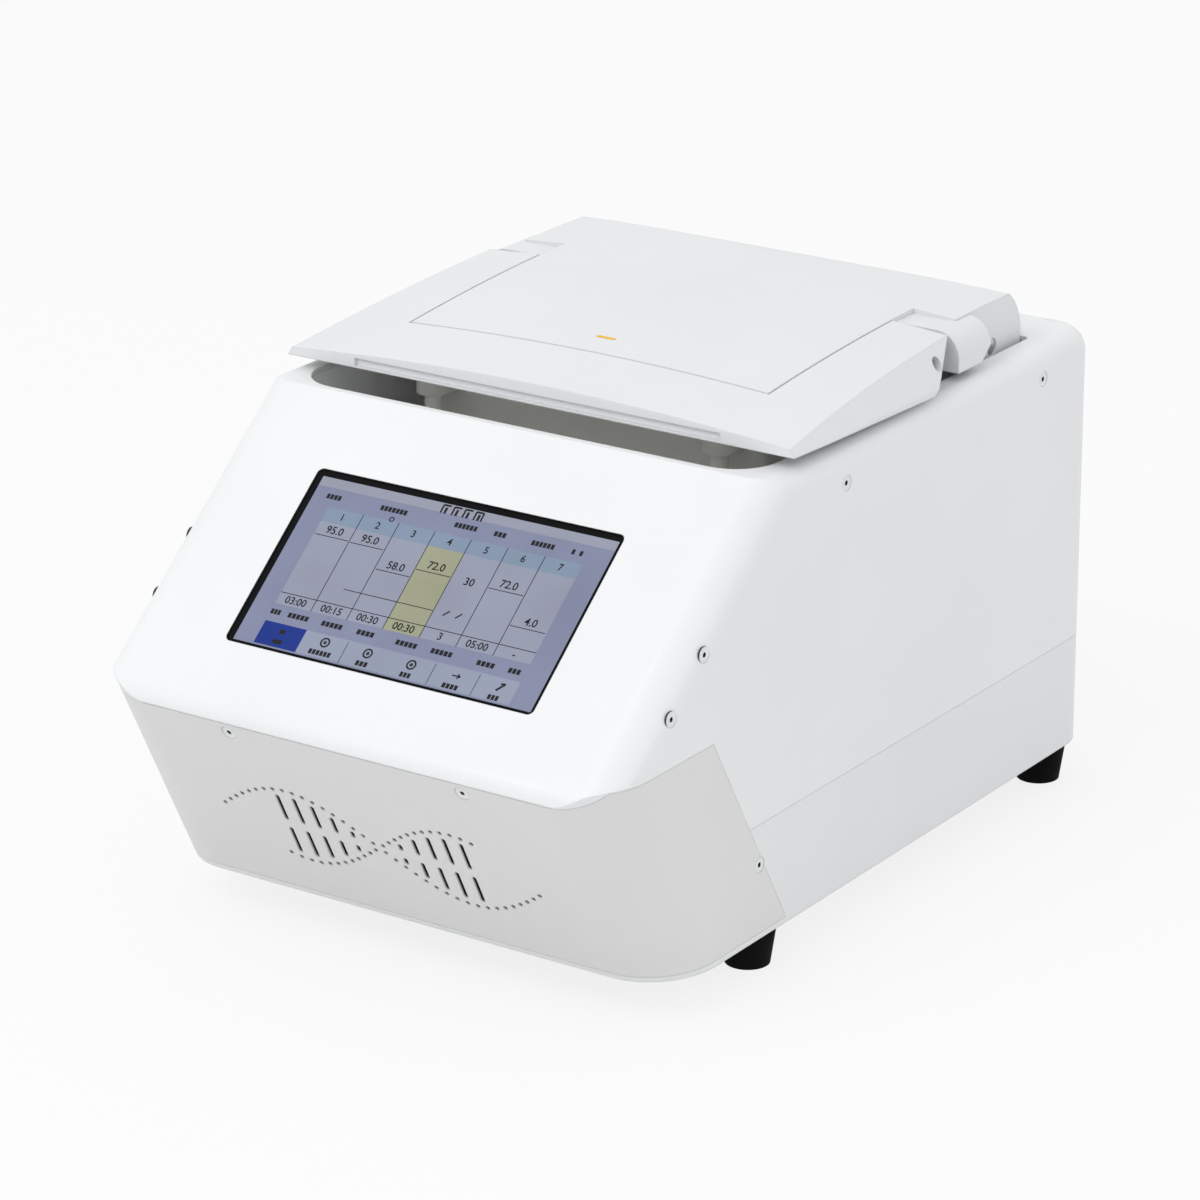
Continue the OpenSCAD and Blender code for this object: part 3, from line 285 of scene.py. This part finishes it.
def corner_shape(side, nearest, farthest):
    """Closed shape along one rear corner's soft curve, between two distances from the curve."""
    rear_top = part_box("upper_cover")[1]
    centre = Vector((side * (rear_top.x - corner_r), rear_top.y - corner_r, rear_top.z))
    shape = bmesh.new()
    layers = []
    for beyond in (nearest, farthest):
        rows = []
        for i in range(corner_turns + 1):
            turn = pi / 2 * i / corner_turns
            roll = side_roll + (rear_roll - side_roll) * i / corner_turns
            row = []
            for k in range(corner_rises + 1):
                rise = pi / 2 * k / corner_rises
                reach = corner_r - roll + (roll + beyond) * cos(rise)
                height = (roll + beyond) * sin(rise) - roll
                row.append(shape.verts.new(centre + Vector((
                    side * reach * cos(turn), reach * sin(turn), height))))
            rows.append(row)
        layers.append(rows)
    near, far = layers
    for rows in layers:
        for i in range(corner_turns):
            for k in range(corner_rises):
                shape.faces.new((rows[i][k], rows[i + 1][k], rows[i + 1][k + 1], rows[i][k + 1]))
    for i in range(corner_turns):
        for k in (0, corner_rises):
            shape.faces.new((near[i][k], near[i + 1][k], far[i + 1][k], far[i][k]))
    for k in range(corner_rises):
        for i in (0, corner_turns):
            shape.faces.new((near[i][k], near[i][k + 1], far[i][k + 1], far[i][k]))
    bmesh.ops.recalc_face_normals(shape, faces=shape.faces)
    mesh = bpy.data.meshes.new("corner_shape")
    shape.to_mesh(mesh)
    shape.free()
    piece = bpy.data.objects.new("corner_shape", mesh)
    bpy.context.scene.collection.objects.link(piece)
    return piece


# The solid's split edges are joined first, so that the cuts leave one closed mesh
white_cover = satin_moulding("white_cover", cover_white)
joined = bmesh.new()
joined.from_mesh(pieces["upper_cover"].data)
bmesh.ops.remove_doubles(joined, verts=joined.verts, dist=weld)
joined.verts.index_update()
shell_mesh = bpy.data.meshes.new("cover_shell")
shell_mesh.from_pydata(
    [vertex.co for vertex in joined.verts], [],
    [[vertex.index for vertex in face.verts] for face in joined.faces])
joined.free()
shell_mesh.materials.append(white_cover)
blended_cover = bpy.data.objects.new("cover_shell", shell_mesh)
bpy.context.scene.collection.objects.link(blended_cover)

# Outside the curve the corner is cut away, and a thin lining keeps the wall closed behind it
changes = [("DIFFERENCE", corner_shape(side, corner_skin, cut_reach)) for side in (-1, 1)]
changes += [("UNION", corner_shape(side, -lining, -corner_skin)) for side in (-1, 1)]
for operation, corner in changes:
    change = blended_cover.modifiers.new(operation, "BOOLEAN")
    change.operation = operation
    change.solver = "MANIFOLD"
    change.object = corner
bpy.context.view_layer.update()
cut_mesh = bpy.data.meshes.new_from_object(
    blended_cover.evaluated_get(bpy.context.evaluated_depsgraph_get()))
blended_cover.modifiers.clear()
cut_mesh.shade_smooth()
cut_mesh.set_sharp_from_angle(angle=sharp_from)
blended_cover.data = cut_mesh
for operation, corner in changes:
    bpy.data.objects.remove(corner)
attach(blended_cover, "case")
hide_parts("upper_cover")

# Front panel
# A second moulding in the same white ABS closes the case below the display, held by two small
# screws. Its vents go right through it, and their walls and its inside are painted black as painted
# shade.
# The panel's white is painted darker than the cover's: painted shade on its downward-facing front.
painted_shade_panel_white = (0.71, 0.708, 0.69)
panel_lean = radians(26.7)
panel_foot = Vector((0, -0.15675, 0.020))
panel_inward = Vector((0, cos(panel_lean), sin(panel_lean)))
vent_half = 0.098
vent_skin = 0.0005
vent_painted_shade = (0.004, 0.004, 0.004)


def painted_shade_below(material, skin, half, dark):
    """Painted shade: dark colour below the front panel's skin, as far out as half from the middle.
    """
    tree = material.node_tree
    place = tree.nodes.new("ShaderNodeTexCoord")
    above_foot = tree.nodes.new("ShaderNodeVectorMath")
    above_foot.operation = "SUBTRACT"
    above_foot.inputs[1].default_value = panel_foot
    tree.links.new(place.outputs["Object"], above_foot.inputs[0])
    depth = tree.nodes.new("ShaderNodeVectorMath")
    depth.operation = "DOT_PRODUCT"
    depth.inputs[1].default_value = panel_inward
    tree.links.new(above_foot.outputs["Vector"], depth.inputs[0])
    below_skin = tree.nodes.new("ShaderNodeMapRange")
    below_skin.inputs["From Min"].default_value = skin
    below_skin.inputs["From Max"].default_value = 2 * skin
    tree.links.new(depth.outputs["Value"], below_skin.inputs["Value"])
    sides = tree.nodes.new("ShaderNodeSeparateXYZ")
    tree.links.new(place.outputs["Object"], sides.inputs[0])
    outward_x = tree.nodes.new("ShaderNodeMath")
    outward_x.operation = "ABSOLUTE"
    tree.links.new(sides.outputs["X"], outward_x.inputs[0])
    between = tree.nodes.new("ShaderNodeMath")
    between.operation = "LESS_THAN"
    between.inputs[1].default_value = half
    tree.links.new(outward_x.outputs[0], between.inputs[0])
    inside = tree.nodes.new("ShaderNodeMath")
    inside.operation = "MULTIPLY"
    tree.links.new(below_skin.outputs[0], inside.inputs[0])
    tree.links.new(between.outputs[0], inside.inputs[1])
    darkened = tree.nodes.new("ShaderNodeMix")
    darkened.data_type = "RGBA"
    darkened.inputs["B"].default_value = (*dark, 1)
    shader = tree.nodes["Principled BSDF"]
    tree.links.new(inside.outputs[0], darkened.inputs["Factor"])
    tree.links.new(shader.inputs["Base Color"].links[0].from_socket, darkened.inputs["A"])
    tree.links.new(darkened.outputs["Result"], shader.inputs["Base Color"])


white_panel_with_painted_shade = satin_moulding("white_panel_with_painted_shade", painted_shade_panel_white)
# Painted shade: black on the vents' walls and on the panel's inside.
painted_shade_below(white_panel_with_painted_shade, vent_skin, vent_half, vent_painted_shade)
painted(white_panel_with_painted_shade, "front_panel")

# Base tray and feet
# The tray is the moulded floor of the case, in the same white as the cover. The feet are
# moulded black rubber, fixed from inside the tray.
tray_white = (0.77, 0.773, 0.775)
rubber_black = (0.004, 0.004, 0.004)

tray_plastic = satin_moulding("tray_plastic", tray_white)
painted(tray_plastic, "base_tray")

rubber = finish("black_rubber", rubber_black, 0.75, edge=0.0006)
rubber.node_tree.nodes["Principled BSDF"].inputs["Specular IOR Level"].default_value = 0.04
tinted(rubber, noise(rubber, 60), scaled(rubber_black, 0.8), scaled(rubber_black, 1.8))
glossed(rubber, noise(rubber, 35), 0.62, 0.85)
grained(rubber, noise(rubber, 1100, 4), 0.00006)
painted(
    rubber, "foot_front_left", "foot_front_right", "foot_rear_left", "foot_rear_right",
    "display_gasket", "block_seal")

# Rear panel
# Folded steel sheet in grey powder coat, with an orange-peel skin. It carries the fans,
# the mains inlet, the switch and the data socket.
rear_grey = (0.55, 0.56, 0.575)

powder_coat = finish("powder_coat", rear_grey, 0.5, edge=0.0003)
tinted(powder_coat, noise(powder_coat, 14), scaled(rear_grey, 0.96), scaled(rear_grey, 1.03))
glossed(powder_coat, noise(powder_coat, 40), 0.42, 0.58)
grained(powder_coat, noise(powder_coat, 700, 2), 0.00008, 0.6)
painted(powder_coat, "rear_panel")

# Chassis, shafts and springs
# The chassis, the display bracket and the power supply are zinc-plated sheet with a cloudy
# skin. The shafts are ground steel, the magnets and the data socket are plated bright, and
# the springs are wound from oiled wire.
zinc_grey = (0.56, 0.57, 0.585)
bright_grey = (0.66, 0.67, 0.69)
spring_grey = (0.30, 0.30, 0.32)

zinc_plate = finish("zinc_plate", zinc_grey, 0.38, metallic=1.0, edge=0.0003)
tinted(zinc_plate, noise(zinc_plate, 70, 5), scaled(zinc_grey, 0.86), scaled(zinc_grey, 1.12))
glossed(zinc_plate, noise(zinc_plate, 45, 4), 0.28, 0.5)
grained(zinc_plate, noise(zinc_plate, 500), 0.00002)
painted(zinc_plate, "chassis", "display_bracket", "power_supply", "pressure_plate")

bright_steel = finish("bright_steel", bright_grey, 0.26, metallic=1.0, edge=0.0002)
tinted(bright_steel, noise(bright_steel, 110), scaled(bright_grey, 0.92), scaled(bright_grey, 1.05))
glossed(bright_steel, noise(bright_steel, 90, 4), 0.18, 0.34)
grained(bright_steel, noise(bright_steel, 900, 2, (0.05, 1, 1)), 0.00001)
painted(
    bright_steel, "catch_magnets", "hinge_shaft", "lift_shaft", "usb_socket")

oiled_steel = finish("oiled_steel", spring_grey, 0.32, metallic=1.0)
tinted(oiled_steel, noise(oiled_steel, 240), scaled(spring_grey, 0.8), scaled(spring_grey, 1.25))
glossed(oiled_steel, noise(oiled_steel, 160), 0.22, 0.42)
painted(oiled_steel, "hinge_springs", "plate_springs")

# Cover screws
# Small socket-head screws in white lacquer hold the cover and the front panel. Their heads fill the
# recesses but for a hair, so they are drawn wider here than the solid's heads. Their sockets are
# painted black as painted shade.
socket_painted_shade = (0.02, 0.02, 0.02)
screw_sink = 0.0004
screw_half = 0.1345
head_solid = 0.0056
head_drawn = 0.0069
head_from = 0.0020
screws_apart = 0.015

white_screws = finish("lacquered_screws", cover_white, 0.4)
tinted(white_screws, noise(white_screws, 300), scaled(cover_white, 0.9), cover_white)
glossed(white_screws, noise(white_screws, 220), 0.32, 0.48)
# Painted shade: black in the screws' sockets.
painted_shade_below(white_screws, screw_sink, screw_half, socket_painted_shade)
painted(white_screws, "cover_screws")

wide_screws = bpy.data.objects.new("wide_screws", pieces["cover_screws"].data.copy())
bpy.context.scene.collection.objects.link(wide_screws)
screws = []
for vertex in wide_screws.data.vertices:
    near = [screw for screw in screws if (screw[0].co - vertex.co).length < screws_apart]
    if near:
        near[0].append(vertex)
    else:
        screws.append([vertex])
for screw in screws:
    on_side = abs(screw[0].co.x) > vent_half
    along = Vector((1, 0, 0)) if on_side else panel_inward
    flat = Vector((0, 1, 0)) if on_side else Vector((1, 0, 0))
    ways = (flat, along.cross(flat))
    middle = Vector()
    for way in ways:
        spread = [vertex.co.dot(way) for vertex in screw]
        middle += way * (min(spread) + max(spread)) / 2
    for vertex in screw:
        radial = sum((way * (vertex.co - middle).dot(way) for way in ways), Vector())
        if radial.length > head_from:
            vertex.co += radial * (head_drawn / head_solid - 1)
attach(wide_screws, "case")
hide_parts("cover_screws")

# Sample bay, block and its heating stack
# The bay is a grey moulded well in the top of the case. The block and the plate that
# presses on the tubes are milled from aluminium and bead-blasted; the sink is extruded.
bay_colour = (0.84, 0.85, 0.84)
block_colour = (0.69, 0.70, 0.71)
sink_colour = (0.60, 0.61, 0.63)
ceramic_colour = (0.84, 0.84, 0.80)

bay_plastic = satin_moulding("bay_plastic", bay_colour, 0.48)
painted(bay_plastic, "bay_tray")

blasted_aluminium = finish("blasted_aluminium", block_colour, 0.4, metallic=1.0, edge=0.0002)
tinted(
    blasted_aluminium, noise(blasted_aluminium, 50), scaled(block_colour, 0.94),
    scaled(block_colour, 1.04))
glossed(blasted_aluminium, noise(blasted_aluminium, 80), 0.34, 0.48)
grained(blasted_aluminium, noise(blasted_aluminium, 2200, 2), 0.00003)
painted(
    blasted_aluminium, "sample_block", "heated_plate", "hinge_bracket_left",
    "hinge_bracket_right")

extruded = finish("extruded_aluminium", sink_colour, 0.34, metallic=1.0)
tinted(extruded, noise(extruded, 45), scaled(sink_colour, 0.9), scaled(sink_colour, 1.06))
glossed(extruded, noise(extruded, 60), 0.26, 0.44)
grained(extruded, noise(extruded, 900, 2, (1, 0.03, 1)), 0.00003)
painted(extruded, "heat_sink")

ceramic = finish("ceramic", ceramic_colour, 0.55)
tinted(ceramic, noise(ceramic, 120), scaled(ceramic_colour, 0.95), scaled(ceramic_colour, 1.03))
glossed(ceramic, noise(ceramic, 90), 0.48, 0.62)
painted(ceramic, "peltier_modules")

# Fans, inlet, switch, display body and main board
# Glass-filled black mouldings with a dry satin skin, and a green board with a solder mask
# that shows the glass weave under it.
black_colour = (0.018, 0.018, 0.020)
mask_green = (0.015, 0.11, 0.05)

black_plastic = satin_moulding("black_plastic", black_colour, 0.45, edge=0.0004)
painted(
    black_plastic, "fan_frame_left", "fan_frame_right", "fan_rotor_left", "fan_rotor_right",
    "power_inlet", "switch_housing", "switch_rocker", "display_module")

solder_mask = finish("solder_mask", mask_green, 0.3)
tinted(solder_mask, noise(solder_mask, 130), scaled(mask_green, 0.75), scaled(mask_green, 1.3))
glossed(solder_mask, noise(solder_mask, 70), 0.22, 0.4)
grained(solder_mask, noise(solder_mask, 1300, 2), 0.00002)
painted(solder_mask, "main_board")

# Lid, its lining and its indicator
# The domed lid is a white moulding like the case. A grey heat-proof housing is screwed
# inside it, and a small amber light guide shows through the dome near its front.
housing_colour = (0.76, 0.755, 0.70)
# The lid's white is painted darker than the case's, as painted shade on its lit top.
lid_white_painted_shade = (0.735, 0.74, 0.75)
amber = (0.86, 0.46, 0.004)

lid_plastic = satin_moulding("lid_plastic", lid_white_painted_shade)
painted(lid_plastic, "lid_cover", "handle_yoke")
housing_plastic = satin_moulding("housing_plastic", housing_colour, 0.5)
painted(housing_plastic, "lid_housing", "catch_posts")

lens = finish("amber_lens", amber, 0.25)
tinted(lens, noise(lens, 260), scaled(amber, 0.85), amber)
lens_shader = lens.node_tree.nodes["Principled BSDF"]
lens_shader.inputs["Emission Color"].default_value = (*amber, 1)
lens_shader.inputs["Emission Strength"].default_value = 0.08
lens_shader.inputs["Specular IOR Level"].default_value = 0.05
painted(lens, "indicator_lens")

# Touch display
# A black glass front bonded over a lit panel. The picture is a plain run table: numbered
# steps with temperatures and times above a row of keys. It lies in thin slabs on the glass,
# and each colour is a piece of its own.
glass_black = (0.002, 0.002, 0.003)
slope = radians(39.7)
screen_w = 0.1589
screen_h = 0.0889
picture_left = 0.019
picture_right = 0.996
picture_top = 0.030
picture_bottom = 0.994
layer = 0.00003

glass = finish("black_glass", glass_black, 0.12)
tinted(glass, noise(glass, 30), scaled(glass_black, 0.8), scaled(glass_black, 1.3))
glossed(glass, noise(glass, 18), 0.08, 0.16)
glass.node_tree.nodes["Principled BSDF"].inputs["Specular IOR Level"].default_value = 0.08
painted(glass, "touch_glass")

# Height of the glass along the slope's outward direction, read from the glass itself
outward = Vector((0, -sin(slope), cos(slope)))
upslope = Vector((0, cos(slope), sin(slope)))
glass_points = [vertex.co for vertex in pieces["touch_glass"].data.vertices]
glass_level = max(point.dot(outward) for point in glass_points)
glass_low = min(point.dot(upslope) for point in glass_points)
glass_high = max(point.dot(upslope) for point in glass_points)
screen_middle = outward * glass_level + upslope * (glass_low + glass_high) / 2
screen_frame = Matrix.Translation(screen_middle) @ Matrix.Rotation(slope, 4, "X")


def on_screen(u, v, height):
    """The point a share u across and v down the window, height above the glass."""
    return screen_frame @ Vector(((u - 0.5) * screen_w, (0.5 - v) * screen_h, height))


def lit(name, colour, glow=0.10):
    """A colour of the display, lit from behind through the glass's gloss."""
    material = finish(name, colour, 0.22)
    tinted(material, noise(material, 26), scaled(colour, 0.93), scaled(colour, 1.07))
    glossed(material, noise(material, 40), 0.16, 0.26)
    shader = material.node_tree.nodes["Principled BSDF"]
    shader.inputs["Emission Color"].default_value = (*colour, 1)
    shader.inputs["Emission Strength"].default_value = glow
    shader.inputs["Specular IOR Level"].default_value = 0.25
    return material


def screen_piece(name, material, mesh):
    """A piece of the picture, riding on the case with the glass."""
    mesh.materials.append(material)
    piece = bpy.data.objects.new(name, mesh)
    bpy.context.scene.collection.objects.link(piece)
    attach(piece, "case")
    return piece


def slabs(name, outlines, floor_at, thick=layer):
    """Thin closed slabs, one for each outline of (u, v) corners, standing on a layer."""
    shape = bmesh.new()
    for outline in outlines:
        low = [shape.verts.new(on_screen(u, v, floor_at * layer)) for u, v in outline]
        high = [shape.verts.new(on_screen(u, v, floor_at * layer + thick)) for u, v in outline]
        shape.faces.new(high)
        shape.faces.new(low[::-1])
        for i in range(len(outline)):
            j = (i + 1) % len(outline)
            shape.faces.new((low[i], low[j], high[j], high[i]))
    bmesh.ops.recalc_face_normals(shape, faces=shape.faces)
    mesh = bpy.data.meshes.new(name)
    shape.to_mesh(mesh)
    shape.free()
    return mesh


def rectangle(left, top, right, bottom):
    return [(left, bottom), (right, bottom), (right, top), (left, top)]


def stroke(u0, v0, u1, v1, width):
    """A straight line of that width, in shares of the window's height."""
    a = Vector((u0 * screen_w, v0 * screen_h))
    b = Vector((u1 * screen_w, v1 * screen_h))
    side = (b - a).normalized().orthogonal() * width * screen_h / 2
    return [(p.x / screen_w, p.y / screen_h) for p in (a - side, b - side, b + side, a + side)]


def ring(u, v, radius, width, turns=28):
    """Short strokes that close into a ring; radius and width in shares of the height."""
    spots = [
        (u + radius * screen_h / screen_w * cos(2 * pi * i / turns),
         v + radius * sin(2 * pi * i / turns)) for i in range(turns + 1)]
    return [stroke(*spots[i], *spots[i + 1], width) for i in range(turns)]


periwinkle = lit("display_field", (0.188, 0.203, 0.30))
pale_bar = lit("display_bar", (0.255, 0.265, 0.33))
sky = lit("display_header", (0.185, 0.24, 0.325))
lavender = lit("display_columns", (0.25, 0.262, 0.34))
khaki = lit("display_active", (0.285, 0.29, 0.195))
key_grey = lit("display_keys", (0.24, 0.265, 0.345))
tab_blue = lit("display_tab", (0.0, 0.02, 0.19))
ink = lit("display_ink", (0.004, 0.004, 0.007), 0.0)

table_left = 0.086
table_right = 0.925
step_count = 7
active_step = 3
step_w = (table_right - table_left) / step_count
bar_bottom = 0.083
header_top = 0.190
header_bottom = 0.272
time_top = 0.692
table_bottom = 0.757
keys_top = 0.857
keys_bottom = 0.985
tab_right = 0.226

screen_piece("display_field", periwinkle, slabs(
    "display_field", [rectangle(picture_left, picture_top, picture_right, picture_bottom)], 0))
screen_piece("display_bar", pale_bar, slabs(
    "display_bar", [rectangle(picture_left, picture_top, picture_right, bar_bottom)], 1))
screen_piece("display_header", sky, slabs(
    "display_header", [rectangle(table_left, header_top, table_right, header_bottom)], 1))
screen_piece("display_columns", lavender, slabs("display_columns", [
    rectangle(table_left + i * step_w, header_bottom, table_left + (i + 1) * step_w, table_bottom)
    for i in range(step_count) if i != active_step], 1))
active_left = table_left + active_step * step_w
screen_piece("display_active", khaki, slabs("display_active", [
    rectangle(active_left, header_bottom, active_left + step_w, table_bottom)], 1))
screen_piece("display_keys", key_grey, slabs(
    "display_keys", [rectangle(tab_right, keys_top, table_right, keys_bottom)], 1))
screen_piece("display_tab", tab_blue, slabs(
    "display_tab", [rectangle(table_left, keys_top, tab_right, keys_bottom)], 1))

# Steps of the run table: temperature, height of its line, and time
steps = [
    ("95.0", 0.346, "03:00"),
    ("95.0", 0.350, "00:15"),
    ("58.0", 0.458, "00:30"),
    ("72.0", 0.410, "00:30"),
    ("30", None, "3"),
    ("72.0", 0.419, "05:00"),
    ("4.0", 0.584, "-"),
]
line = 0.004
number_at = 0.231
count_at = 0.415
time_at = 0.727
over_line = 0.036
marks = []
figures = []
for i, (warmth, height, time) in enumerate(steps):
    left = table_left + i * step_w
    middle = left + step_w / 2
    figures.append((str(i + 1), middle, number_at, 0.040))
    figures.append((warmth, middle, count_at if height is None else height - over_line, 0.044))
    figures.append((time, middle, time_at, 0.042))
    marks.append(stroke(left, time_top, left + step_w, time_top, line))
    if i:
        marks.append(stroke(left, header_top, left, table_bottom, line))
    if height is not None:
        marks.append(stroke(left + line, height, left + step_w - line, height, line))
marks.append(stroke(0.268, 0.602, 0.563, 0.602, line))
marks.append(stroke(0.615, 0.585, 0.600, 0.615, 0.008))
marks.append(stroke(0.655, 0.585, 0.640, 0.615, 0.008))

# Captions: rows of short bars, each row given by its middle and its width
bar_h = 0.027
bar_pitch = 0.013
bar_share = 0.78
captions = [
    (0.088, 0.131, 0.050), (0.290, 0.129, 0.090), (0.530, 0.131, 0.075), (0.642, 0.131, 0.040),
    (0.782, 0.134, 0.075), (0.880, 0.134, 0.012), (0.905, 0.134, 0.012),
    (0.104, 0.802, 0.034), (0.180, 0.802, 0.070), (0.293, 0.802, 0.070), (0.405, 0.802, 0.058),
    (0.541, 0.806, 0.070), (0.656, 0.806, 0.070), (0.800, 0.810, 0.058), (0.892, 0.810, 0.040),
    (0.301, 0.959, 0.074), (0.441, 0.961, 0.040), (0.585, 0.963, 0.036), (0.731, 0.965, 0.052),
    (0.870, 0.967, 0.036)]
for u, v, width in captions:
    count = max(1, round(width / bar_pitch))
    for k in range(count):
        left = u - width / 2 + width * k / count
        right = left + bar_share * width / count
        marks.append(rectangle(left, v - bar_h / 2, right, v + bar_h / 2))

# Keys: three rings, an arrow and a slanted mark, and four small signs in the top bar
for u, v in ((0.300, 0.899), (0.4425, 0.901), (0.5866, 0.904)):
    marks.extend(ring(u, v, 0.023, 0.009))
    marks.extend(ring(u, v, 0.006, 0.008, 12))
marks.append(stroke(0.720, 0.905, 0.744, 0.905, 0.007))
marks.append(stroke(0.736, 0.893, 0.746, 0.906, 0.007))
marks.append(stroke(0.736, 0.917, 0.746, 0.904, 0.007))
marks.append(stroke(0.886, 0.886, 0.866, 0.928, 0.012))
marks.append(stroke(0.886, 0.886, 0.872, 0.890, 0.009))
for u in (0.369, 0.657, 0.800):
    marks.append(stroke(u, keys_top + 0.01, u, keys_bottom, 0.003))
for k in range(4):
    left = 0.430 + 0.036 * k
    marks.append(stroke(left, 0.038, left, 0.086, 0.010))
    marks.append(stroke(left, 0.040, left + 0.024, 0.040, 0.010))
    marks.append(stroke(left + 0.013, 0.052, left + 0.013, 0.086, 0.014))
marks.append(stroke(left + 0.024, 0.040, left + 0.024, 0.086, 0.010))
marks.extend(ring(0.297, 0.179, 0.012, 0.006, 16))
for v, width in ((0.898, 0.018), (0.955, 0.030)):
    marks.append(rectangle(0.156 - width / 2, v - 0.011, 0.156 + width / 2, v + 0.011))
screen_piece("display_marks", ink, slabs("display_marks", marks, 2))

# Figures: letters as tall as their line asks, a little bolder than the typeface
figure_size = 1.35
figure_weight = 0.018


def numerals(name, items):
    """Plain figures as one thin mesh: each item is text, middle u, middle v and height share."""
    shape = bmesh.new()
    for text, u, v, height in items:
        curve = bpy.data.curves.new("figure", "FONT")
        curve.body = text
        curve.size = height * screen_h * figure_size
        curve.align_x = "CENTER"
        curve.align_y = "CENTER"
        curve.extrude = layer / 2
        curve.offset = height * screen_h * figure_weight
        curve.resolution_u = 3
        writing = bpy.data.objects.new("figure", curve)
        bpy.context.scene.collection.objects.link(writing)
        bpy.context.view_layer.update()
        solid = writing.evaluated_get(bpy.context.evaluated_depsgraph_get()).to_mesh()
        place = screen_frame @ Matrix.Translation((
            (u - 0.5) * screen_w, (0.5 - v) * screen_h, 2.5 * layer))
        solid.transform(place)
        shape.from_mesh(solid)
        bpy.data.objects.remove(writing)
        bpy.data.curves.remove(curve)
    bmesh.ops.remove_doubles(shape, verts=shape.verts, dist=weld)
    mesh = bpy.data.meshes.new(name)
    shape.to_mesh(mesh)
    shape.free()
    return mesh


screen_piece("display_figures", ink, numerals("display_figures", figures))
